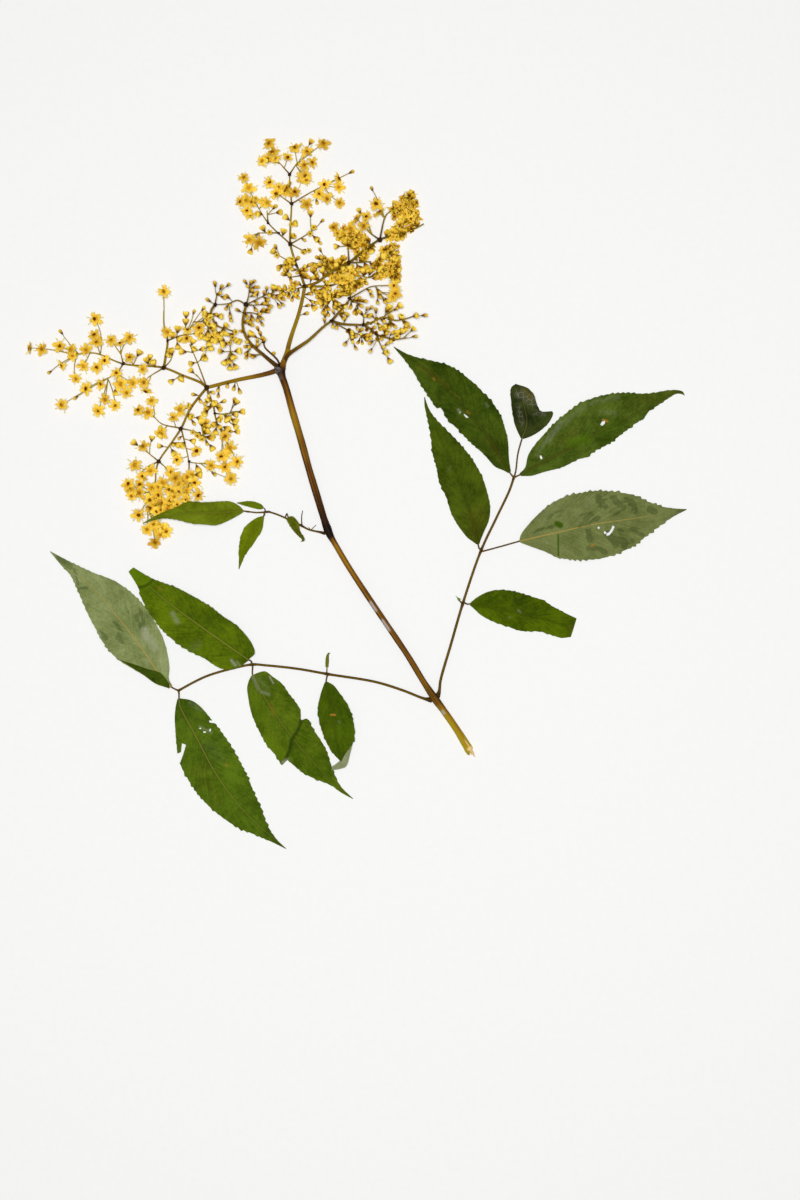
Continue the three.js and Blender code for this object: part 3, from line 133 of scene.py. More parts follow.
# stalk: a leaflet's own stalk, ending where the blade begins. rib: places on the midrib from there to
# the tip. left, right: the edges, seen with the tip ahead; in a cut blade they run on to the cut. face:
# which face is up, if it isn't the top one. heights: of the underside at the base and at the tip. arch:
# how far the middle stands up. wave: how far the edges rise and fall. teeth: their depth. bites: torn
# places and holes. flaps: folded-over parts, each between two lines. fresh, dark, pale, rust: marks on
# the blade, each one's radius, strength and places. dark is painted shade on a top face and the blade's
# own blotches on an underside; pale is a painted sheen.
LEAFLETS = {
  "left_leaflet_1": {
    "stalk": [[-67.9, -73.4], [-69.3, -72.6]], "tip": [-114.8, -21.8], "face": "underside",
    "rib": [[-74.4, -66.8], [-81.6, -56.4], [-90, -45.6], [-97.6, -36.4]],
    "left": [[-74.8, -71.6], [-80, -68], [-89.6, -62], [-94.8, -56], [-97.2, -51.6], [-100, -46.4],
      [-102.8, -40], [-104.8, -35.2], [-107.6, -30], [-110, -27.6]],
    "right": [[-70.2, -69.6], [-70, -65.6], [-70.8, -60], [-72.4, -54.4], [-74.8, -49.6], [-78, -44.4],
      [-82, -39.6], [-86, -36], [-90.8, -32.8], [-98, -30], [-104.8, -27]],
    "heights": [0.6, 0], "arch": 0.9, "wave": 0.5, "teeth": 0.35,
    "flaps": [{
      "outer": [[-70, -73.2], [-74.8, -71.4], [-80, -67.8], [-89.4, -62]],
      "inner": [[-70, -71.4], [-73.2, -67.4], [-78, -65.9], [-83.6, -64], [-88.2, -62.6]],
      "face": "top", "lift": 0.42,
    }],
    "dark": [[1.5, 0.8, [-111.5, -24.4], [-107.2, -27.4]], [0.6, 1, [-104.3, -35.8], [-101, -35.4]],
      [0.8, 0.7, [-105.5, -28.4], [-104.8, -31.8], [-104.2, -34]], [2.4, 0.5, [-95, -52.4], [-94, -53.6]],
      [0.8, 0.8, [-96.8, -40.8], [-96.2, -40.6]], [1.7, 0.6, [-87, -43.6], [-86.2, -44.6]],
      [4, 0.5, [-81.5, -43.5], [-78.5, -49.5]], [3, 0.4, [-91, -50], [-88, -56]]],
    "pale": [[2.2, 0.9, [-79.2, -51.4], [-78.6, -54.2]], [2.4, 0.75, [-77.4, -54.4], [-75.4, -58]],
      [2.2, 0.45, [-73.6, -61], [-71.8, -65]], [1.6, 0.35, [-77.4, -61], [-78.6, -64]]],
  },
  "left_leaflet_2": {
    "stalk": [[-39.3, -63], [-40.2, -62.4]], "tip": [-84.3, -28.6], "cut": True,
    "rib": [[-48, -57], [-60, -48.5], [-72, -39.5]],
    "left": [[-44.4, -65.4], [-50, -65.8], [-57.2, -61.6], [-62, -59.2], [-67.6, -55.6], [-72.4, -51.2],
      [-75.6, -47.2], [-80, -40], [-81.6, -35.2], [-85.2, -29.4]],
    "right": [[-37.9, -60], [-38.8, -56.8], [-41.2, -53.2], [-45.2, -49.2], [-50, -46], [-54.8, -42.4],
      [-60, -39.2], [-66.8, -35.6], [-70, -34.4], [-76.4, -32], [-83.4, -27.8]],
    "heights": [2, 1.8], "arch": 0.8, "wave": 0.5, "teeth": 0.35,
    "fresh": [[0.8, 0.5, [-53.2, -50.8], [-52.6, -51.2]], [3.6, 0.55, [-84.4, -28.8], [-79, -32.4]]],
    "dark": [[0.9, 0.9, [-81.8, -35.4], [-79, -34.8], [-77, -33.6], [-75.6, -31.6]],
      [2.4, 0.35, [-79.6, -37.4], [-74.6, -34.6]], [4.5, 0.4, [-44, -57.6], [-42, -61.6]]],
    "pale": [[1.5, 0.7, [-68.6, -45], [-66.8, -48.2]], [0.9, 1, [-46.6, -62.6], [-45.2, -64.4]],
      [0.6, 0.7, [-44.6, -63], [-43.2, -64.8]], [2.2, 0.3, [-59, -56.6], [-61.4, -58.2]],
      [1.2, 0.4, [-62, -36.6], [-60.6, -37.4]]],
    "rust": [[0.8, 0.45, [-73.8, -35.2], [-72.8, -36.2]]],
  },
  "left_leaflet_3": {
    "stalk": [[-66.4, -75.3], [-66.4, -77]], "tip": [-26.2, -133.4],
    "rib": [[-66, -79.8], [-60.4, -90.4], [-53.2, -104], [-46, -114.4], [-38, -123.2]],
    "left": [[-62, -77.6], [-58.8, -79.6], [-55.6, -83.2], [-50, -90.4], [-46.8, -95.2], [-43.6, -100.8],
      [-40.4, -107.2], [-38, -113.2], [-35.6, -118.4], [-33.2, -124.8], [-30, -129.6]],
    "right": [[-67.6, -80], [-68, -84], [-67.8, -88], [-67.4, -92.8], [-66.9, -97.8], [-65.9, -101.5],
      [-62, -108.8], [-57.6, -114.8], [-51.6, -120.4], [-44.4, -125.2], [-38, -128], [-31.6, -130.8]],
    "heights": [0.5, 0], "arch": 0.9, "wave": 0.6, "teeth": 0.5,
    "bites": [
      [[-65.3, -93.7], [-63.7, -94.3], [-64.8, -98], [-66, -101.2], [-69, -101], [-69, -97.7], [-67, -97.6],
        [-65.7, -97.1]],
      [[-55.2, -85.1], [-52.4, -85.4], [-52.6, -86.3], [-55, -86]],
      [[-58.8, -87.9], [-58, -87.8], [-58, -88.4], [-58.8, -88.5]],
      [[-55.1, -88.4], [-54.4, -88.2], [-54.4, -89.2], [-55.1, -89.3]],
      [[-57.3, -89.2], [-56.2, -89.3], [-56.3, -89.9], [-57.4, -89.8]],
    ],
    "fresh": [[3.8, 0.35, [-47.6, -101], [-44.6, -108]], [4.2, 0.3, [-52, -107.4], [-44, -119.4]]],
    "dark": [[6, 0.5, [-66, -79.5], [-61, -82.5], [-56.8, -84.6]], [4, 0.35, [-67, -84], [-66.6, -94]],
      [2.6, 0.4, [-33, -127.8], [-28, -132]]],
    "pale": [[1.6, 0.4, [-62, -78.6], [-58.6, -81]], [3.4, 0.2, [-55.6, -94.4], [-50.6, -99.2]],
      [0.8, 0.6, [-58.6, -87.4], [-54.2, -89.8]]],
    "rust": [[3, 0.18, [-57.6, -102], [-52, -116]], [3.4, 0.16, [-60.6, -104], [-57.6, -110]],
      [0.7, 0.6, [-48.6, -101.6], [-48.2, -102.2]]],
  },
  "left_leaflet_4": {
    "stalk": [[-38.8, -65.5], [-38.8, -68.2]], "tip": [-1.2, -114.6],
    "rib": [[-34, -77], [-27, -87.5], [-19, -97.5], [-10, -107]],
    "left": [[-36.5, -67.2], [-34, -66.8], [-31.2, -68.8], [-28, -71.2], [-25.2, -75.2], [-22.4, -78.8],
      [-20.9, -81.4], [-20.5, -85], [-18.4, -84.6], [-16.4, -88], [-14, -91.6], [-11.6, -95.6], [-10, -100],
      [-8.4, -104.8], [-6, -109.6]],
    "right": [[-40, -69.8], [-40.8, -72.8], [-40.4, -76.8], [-39.2, -82.4], [-37.6, -86.4], [-35.2, -91.2],
      [-32.8, -95.2], [-30, -98.4], [-27.7, -101.8], [-26.4, -99.8], [-23.6, -101.8], [-19.6, -105],
      [-14, -107.6], [-9.2, -109.6], [-6, -112]],
    "heights": [0.5, 0], "arch": 0.7, "wave": 0.5, "teeth": 0.35,
    "fresh": [[3.4, 0.6, [-32.8, -92.2], [-28, -97.8]], [4.6, 0.35, [-38, -77], [-35.4, -86]],
      [4, 0.25, [-18.6, -92.6], [-15, -99.6]]],
    "dark": [[2, 0.6, [-33.8, -69.4], [-30.4, -72.6], [-31.2, -75.4]],
      [1.1, 1, [-20.4, -84.8], [-21.6, -88.6], [-24, -92.2], [-24.8, -96], [-26.2, -99.8]],
      [2.2, 0.45, [-21.4, -87], [-23.4, -94.6]]],
    "pale": [[2, 0.3, [-36.4, -69.2], [-33.4, -73.4]], [0.55, 1, [-32.4, -68.8], [-31, -71.2]],
      [0.8, 0.8, [-35.6, -74.4], [-32.6, -75.4]], [1, 0.7, [-38.8, -68.6], [-36.6, -73.4]],
      [1.1, 0.9, [-27.4, -101], [-25.6, -100]]],
    "rust": [[1.4, 0.35, [-32, -79.6], [-30.8, -82.6]]],
  },
  "left_leaflet_5": {
    "stalk": [[-11, -69.2], [-11.2, -70.8]], "tip": [-5.6, -100.5],
    "rib": [[-9.4, -80], [-7.6, -91]],
    "left": [[-8.4, -72], [-6, -75.2], [-2.8, -80], [-1.2, -84.8], [-0.6, -88.8], [-1, -93.2],
      [-3.6, -96.9]],
    "right": [[-13.2, -75.2], [-14.2, -80.8], [-13.2, -87.2], [-11.2, -92.8], [-8.6, -97.3]],
    "heights": [0.5, 1.9], "arch": 0.5, "wave": 0.4, "teeth": 0.3,
    "flaps": [{
      "outer": [[-0.9, -92.6], [-2.2, -97.6], [-3.7, -102.3], [-6, -103.3], [-9.2, -103.8]],
      "inner": [[-1.6, -93], [-3.8, -96.6], [-5.8, -100], [-7.4, -101.4], [-9, -102.5]],
      "face": "underside", "lift": -0.3,
    }],
    "fresh": [[3.6, 0.3, [-11.4, -80], [-10.4, -89]]],
    "dark": [[4.6, 0.5, [-11, -74], [-6, -80]], [3.4, 0.4, [-3.4, -84], [-2.6, -92]],
      [2.4, 0.4, [-5.6, -94], [-4.8, -98.6]]],
    "pale": [[0.6, 0.5, [-6.6, -85.4], [-6.2, -86]]],
    "rust": [[0.55, 1, [-9.3, -83], [-7.8, -83]]],
  },
  "left_leaflet_6": {
    "stalk": [[-10.9, -66.4], [-10.9, -65.2]], "tip": [-9.6, -59.9],
    "rib": [[-10.8, -62.5], [-10.6, -60.6], [-10.2, -60]],
    "left": [[-11.45, -63], [-11.15, -61], [-10.4, -59.8]],
    "right": [[-10.15, -63], [-10.15, -61], [-10, -60.2]],
    "heights": [0.5, 0.4], "arch": 0.2, "wave": 0.1, "teeth": 0,
  },
  "right_leaflet_1": {
    "stalk": [[59.9, 8.2], [60.7, 14.7], [62.3, 20.6]], "tip": [60, 41.1],
    "rib": [[64, 26], [63, 33]],
    "left": [[60, 24.7], [58.6, 30.9], [58.2, 34.8], [58.2, 39.6]],
    "right": [[64.6, 21], [67.3, 22.3], [70.4, 24.6], [72.7, 27.1], [73.9, 29.9], [73.5, 30.7],
      [70.8, 30.2], [68.8, 31.3], [67.7, 34], [66.8, 36.7], [64.6, 39.4]],
    "heights": [0.6, 0], "arch": 0.9, "wave": 0.8, "teeth": 0.15,
    "fresh": [[2.4, 0.3, [68, 24.6], [71.6, 28.2]]],
    "dark": [[2.2, 0.7, [62.6, 30.6], [65.8, 26.6]], [2.6, 0.6, [60.4, 36], [60, 30]]],
    "pale": [[2.6, 0.75, [61.4, 37.4], [66.2, 34.2]], [1.6, 0.6, [66.8, 30.4], [70.4, 29.6]],
      [1.4, 0.6, [60.6, 33], [62.4, 26]], [1.2, 0.8, [66.8, 37], [67.8, 33.4]]],
    "rust": [[1.6, 0.3, [63.6, 39], [65.6, 36]]],
  },
  "right_leaflet_2": {
    "stalk": [[58.6, 6.6], [57.6, 7.9]], "tip": [14.2, 54.9],
    "rib": [[49.1, 21.7], [39.8, 32.5], [29.8, 43.3]],
    "left": [[55.3, 8.6], [52.2, 10], [48.3, 14.3], [42.9, 19.3], [38.3, 24], [34.4, 27.8], [31.7, 32.1],
      [30.2, 32.2], [28.6, 34.4], [25.9, 38.5], [23.6, 42.1], [20.5, 47.2]],
    "right": [[57.4, 12.5], [56.9, 20.1], [55.7, 24.7], [54.2, 29], [50.7, 34.4], [47.6, 37.7], [44.5, 41],
      [39.8, 44.7], [35.2, 47.6], [30.6, 49.1], [24.4, 50.5], [19.7, 52]],
    "heights": [0.9, 0.9], "arch": 0.8, "wave": 0.5, "teeth": 0.45,
    "bites": [[[40.3, 29.5], [41.3, 28.2], [42.3, 28.3], [41.9, 28.9], [41.1, 29.4], [40.6, 29.9]],
      [[38.6, 30.5], [38.9, 29.9], [39.3, 30.2], [39.1, 30.7]]],
    "fresh": [[2.4, 0.35, [42, 27.4], [45, 22.6]], [3.4, 0.25, [36, 42], [46, 34]]],
    "dark": [[6.5, 0.5, [55.4, 12], [48, 19]], [1.6, 0.5, [40.6, 31.6], [43.2, 30.6]],
      [3, 0.35, [46, 25.6], [37, 36]]],
    "pale": [[0.9, 0.5, [48.6, 33.6], [49.4, 32.6]], [0.9, 0.8, [38.4, 31.2], [39, 30.2]]],
    "rust": [[3.4, 0.15, [54, 13], [49.6, 19.6]], [0.45, 0.7, [29, 43.2], [29.5, 42.5]],
      [0.7, 0.55, [41.6, 30.6], [42.6, 29.9]], [0.22, 0.5, [35.4, 38.2], [39.2, 35.4]],
      [2, 0.2, [24, 47.4], [34, 40.6]]],
  },
  "right_leaflet_3": {
    "stalk": [[60.2, 6.4], [61.6, 7]], "tip": [123.4, 36.8],
    "rib": [[75, 14.2], [90, 22.4], [105, 29.8], [114, 35], [120.6, 38.1]],
    "left": [[63.4, 9.6], [64.6, 14.3], [67.7, 18.9], [71.6, 23.2], [75.4, 27.1], [80.1, 30.9], [84.7, 34],
      [89.3, 35.7], [94, 37], [100.2, 37.6], [109.8, 37.4], [115.6, 38.4], [120.3, 38.8], [122.6, 38.2]],
    "right": [[65.8, 6.6], [70.8, 8.1], [77.7, 10], [83.2, 12.8], [87.6, 14], [88.4, 15.4], [92.4, 17.4],
      [96.3, 19.7], [100.2, 22.8], [104.8, 26.3], [107.9, 28.2], [109.8, 30.8], [112.9, 32.9],
      [116.4, 35.2], [120.3, 37.4], [122.4, 37.2]],
    "heights": [0.6, 0], "arch": 1, "wave": 0.6, "teeth": 0.5,
    "bites": [[[91.5, 25.6], [92.2, 27], [93.5, 27.2], [93.4, 26.2], [92.4, 25.3]],
      [[68.8, 14.1], [69.5, 14.3], [70, 13.2], [69.6, 12.6], [69, 13.1]]],
    "fresh": [[3, 0.6, [80.6, 19], [86.4, 20.4]], [2.4, 0.4, [92, 22.6], [98, 26.4]]],
    "dark": [[1.4, 0.5, [88.6, 31.5], [91, 30.5]], [2.2, 0.5, [87.6, 32], [90.4, 33.2]],
      [5, 0.4, [67, 9], [80, 14]], [3, 0.3, [84, 26], [92, 30]]],
    "pale": [[1.8, 0.55, [71.6, 19.5], [77, 26.6]], [1.4, 0.4, [67.6, 14.4], [72.4, 22]],
      [2, 0.4, [77, 26], [85.6, 32.6]], [1.6, 0.4, [88, 34], [98, 36.2]],
      [1.6, 0.35, [92, 30.5], [97, 30]]],
    "rust": [[3.6, 0.16, [103, 33.8], [112, 36.4], [123, 37.6]], [0.6, 1, [92.6, 27.5], [94.2, 27]],
      [2.4, 0.18, [76.4, 18.4], [83, 23.4]]],
  },
  "right_leaflet_4": {
    "stalk": [[46.2, -20.6], [45.8, -19]], "tip": [25.7, 36.2],
    "rib": [[42, -5], [36.5, 10], [30.5, 23]],
    "left": [[43.7, -18], [41.8, -16.6], [39.1, -13.2], [37.1, -10.1], [35.6, -7], [34, -1.6], [31.2, 4.6],
      [30.2, 10], [28.6, 15.9], [28.2, 20.9], [27.1, 27.1], [25.8, 32.4]],
    "right": [[46.8, -17.4], [47.9, -14.7], [49.8, -10.1], [50.3, -5.4], [49.3, 0], [47.6, 5.4], [45.3, 10],
      [42.5, 14.3], [37.5, 20.1], [32.9, 24.7], [29, 29], [26.8, 33]],
    "heights": [0.5, 0], "arch": 0.6, "wave": 0.3, "teeth": 0.32,
    "fresh": [[2.6, 0.45, [26.2, 34], [28.4, 27]], [3.6, 0.3, [34, 16], [31, 22]]],
    "dark": [[6.5, 0.4, [45.4, -15], [43, -3]], [0.8, 0.5, [44.4, 1.4], [45.2, 0]]],
    "pale": [[0.9, 0.3, [34.6, 8.4], [35.4, 10]]],
    "rust": [[6, 0.2, [45.6, -16], [45.4, -8]]],
  },
  "right_leaflet_5": {
    "stalk": [[47.1, -21.75], [54, -20], [61.5, -17.9]], "tip": [124.1, -6], "face": "underside",
    "rib": [[76.2, -14.5], [89.3, -11.6], [99.4, -10.1], [110.2, -8.5]],
    "left": [[61.9, -15.5], [63.8, -12.8], [67.7, -8.5], [72.3, -4.6], [76.2, -2.3], [80.1, -0.9],
      [84.7, 0.1], [90.1, 0.8], [96.3, 0.5], [100.9, 0], [104.8, -1], [109.4, -3.1], [114.9, -5],
      [120, -5.7]],
    "right": [[64.6, -19.6], [67.7, -20.7], [72.3, -22.4], [75.4, -24], [80.1, -24.6], [84.7, -24.8],
      [91.7, -24.4], [97.1, -22.8], [102.5, -20.5], [105.6, -18.6], [109.8, -15.1], [114.1, -12],
      [118.7, -8.9]],
    "heights": [0.6, 0], "arch": 0.9, "wave": 0.6, "teeth": 0.6,
    "bites": [
      [[90.4, -12.9], [91, -12.3], [91.6, -12.9], [91, -13.5]],
      [[92.7, -14.7], [93.4, -14], [94, -14.8], [93.4, -15.4]],
      [[96.2, -11.9], [97.1, -12.6], [96.1, -14.5], [95.1, -15.7], [93.9, -16], [93.9, -15.1], [95, -14.4],
        [95.7, -13.3]],
    ],
    "fresh": [[1.6, 1, [75.4, -11.4], [76.6, -12]], [0.9, 0.5, [67.4, -14], [74, -12]],
      [0.5, 0.9, [75.8, -15.6], [75.9, -23.4]], [5, 0.16, [80, -21], [96, -20]]],
    "dark": [[1.7, 1, [91.2, -1.6], [91.8, -4.6]], [1.6, 0.9, [93.4, -5], [92.6, -2.6]],
      [1, 1, [121.6, -5.9], [124, -6]], [1.9, 1, [97, -2.4], [99.6, -4.8]],
      [1.7, 0.9, [101.4, -2], [103.8, -3.8]], [1.5, 0.8, [98, -6.6], [95.4, -7.4]],
      [1.7, 0.9, [110.4, -6], [112.2, -7.4]], [1.5, 0.8, [104.2, -3.8], [104.6, -6.6]],
      [2.2, 0.9, [94.4, -14.8], [97.4, -18.6]], [2.2, 0.8, [99, -14.8], [100.6, -19]],
      [1.6, 0.8, [104, -14], [107.4, -15.4]], [0.9, 0.8, [103.3, -17.4], [103.8, -18]],
      [2, 0.7, [87.4, -20.6], [93, -21.8]], [2.6, 0.55, [84, -9.4], [89.4, -8.4]],
      [1.6, 0.7, [87, -13.8], [87.8, -17.2]], [2.4, 0.45, [72, -9], [77, -7.4]],
      [1.2, 0.7, [66.4, -14.4], [73.4, -12.4]], [1, 0.6, [84, -12.6], [90.4, -11.2]],
      [1, 0.9, [121.4, -6.6], [124, -6]]],
    "pale": [[0.5, 0.9, [71.4, -18.6], [71.6, -18.5]], [2.6, 0.3, [86.4, -4], [88, -2.6]],
      [3.4, 0.3, [70, -7.6], [75, -4.6]]],
    "rust": [[0.7, 0.9, [88.5, -19.6], [88.9, -19.3]]],
  },
  "right_leaflet_6": {
    "stalk": [[41.6, -41.5], [42.9, -41.5]], "tip": [81.7, -50.5], "cut": True,
    "rib": [[52, -43], [66, -46]],
    "left": [[45.3, -39.1], [49.1, -37.1], [53.4, -36.3], [59.2, -36.8], [64.6, -38.4], [70, -40.1],
      [73.9, -42.5], [78.5, -44.9], [82.8, -46.9]],
    "right": [[44.5, -43.5], [46.8, -45.6], [51.4, -48], [56.9, -49.9], [61.5, -51.5], [69.2, -51.8],
      [73.1, -53], [77, -54.2], [80.6, -53.9]],
    "heights": [0.6, 0], "arch": 0.8, "wave": 0.6, "teeth": 0.25,
    "dark": [[2.6, 0.35, [70, -46], [79, -48.6]], [2, 0.3, [46, -41.6], [52, -42.6]]],
    "pale": [[0.7, 0.6, [60.8, -43.8], [61.6, -44.6]], [0.5, 0.5, [57.4, -46.4], [58, -46.6]]],
    "rust": [[1.2, 0.3, [80.4, -50], [81.4, -52]]],
  },
  "small_leaflet_1": {
    "stalk": [[-41.1, -6.8], [-42.4, -6.6]], "tip": [-79.5, -11.3],
    "rib": [[-54, -7.4], [-66, -7.9]],
    "left": [[-43.5, -7.9], [-46.7, -9.7], [-49.9, -11.2], [-52.5, -12], [-57.3, -11.7], [-61.6, -11.3],
      [-67.5, -9.8], [-73.3, -9.6]],
    "right": [[-43.5, -4.9], [-45.6, -3.6], [-47.7, -3], [-52, -3.2], [-57.3, -3.5], [-62.7, -3.3],
      [-68, -5.7], [-74.4, -8.3]],
    "heights": [0.7, 3.9], "arch": 0.9, "wave": 0.2, "teeth": 0.2,
    "fresh": [[3, 0.3, [-60, -9.6], [-70, -8.8]]],
    "dark": [[3, 0.3, [-46, -6], [-52, -6.6]]],
  },
  "small_leaflet_2": {
    "stalk": [[-34.2, -5.9], [-34.9, -5.4]], "tip": [-44.6, -3.6],
    "rib": [[-39, -4.2]],
    "left": [[-36.4, -6], [-39.7, -5.2]],
    "right": [[-35.9, -3.9], [-40, -3]],
    "heights": [0.9, 1.6], "arch": 0.3, "wave": 0.1, "teeth": 0.1,
  },
  "small_leaflet_3": {
    "stalk": [[-34.4, -8.1], [-34.9, -8.8]], "tip": [-44, -28.5],
    "rib": [[-38.6, -15], [-42, -22]],
    "left": [[-34.6, -9.9], [-35.2, -13.5], [-37.1, -16.7], [-39.2, -19.9], [-41.3, -22.5]],
    "right": [[-36.9, -9], [-39.2, -10.4], [-41.3, -12.3], [-43, -15.5], [-43.9, -20.7], [-43.9, -24.7]],
    "heights": [0.4, 0], "arch": 0.6, "wave": 0.3, "teeth": 0.2,
    "dark": [[2.4, 0.3, [-36, -11], [-39, -15]]],
  },
  "small_leaflet_4": {
    "stalk": [[-25.9, -7.6], [-25.4, -9]], "tip": [-20.8, -18.2],
    "rib": [[-22.8, -13.2], [-20.3, -16.6], [-19.7, -17.6]],
    "left": [[-23.7, -8.7], [-21.6, -11], [-20.8, -14.5], [-19.3, -16.9], [-19.4, -17.9]],
    "right": [[-26.1, -9.6], [-25.3, -11.3], [-23.7, -13.7], [-21.2, -16.4], [-20.2, -17.5]],
    "heights": [1.9, 1.9], "arch": 0.3, "wave": 0.2, "teeth": 0.1,
    "dark": [[1.2, 0.5, [-25, -8.6], [-23.4, -12]]],
  },
}

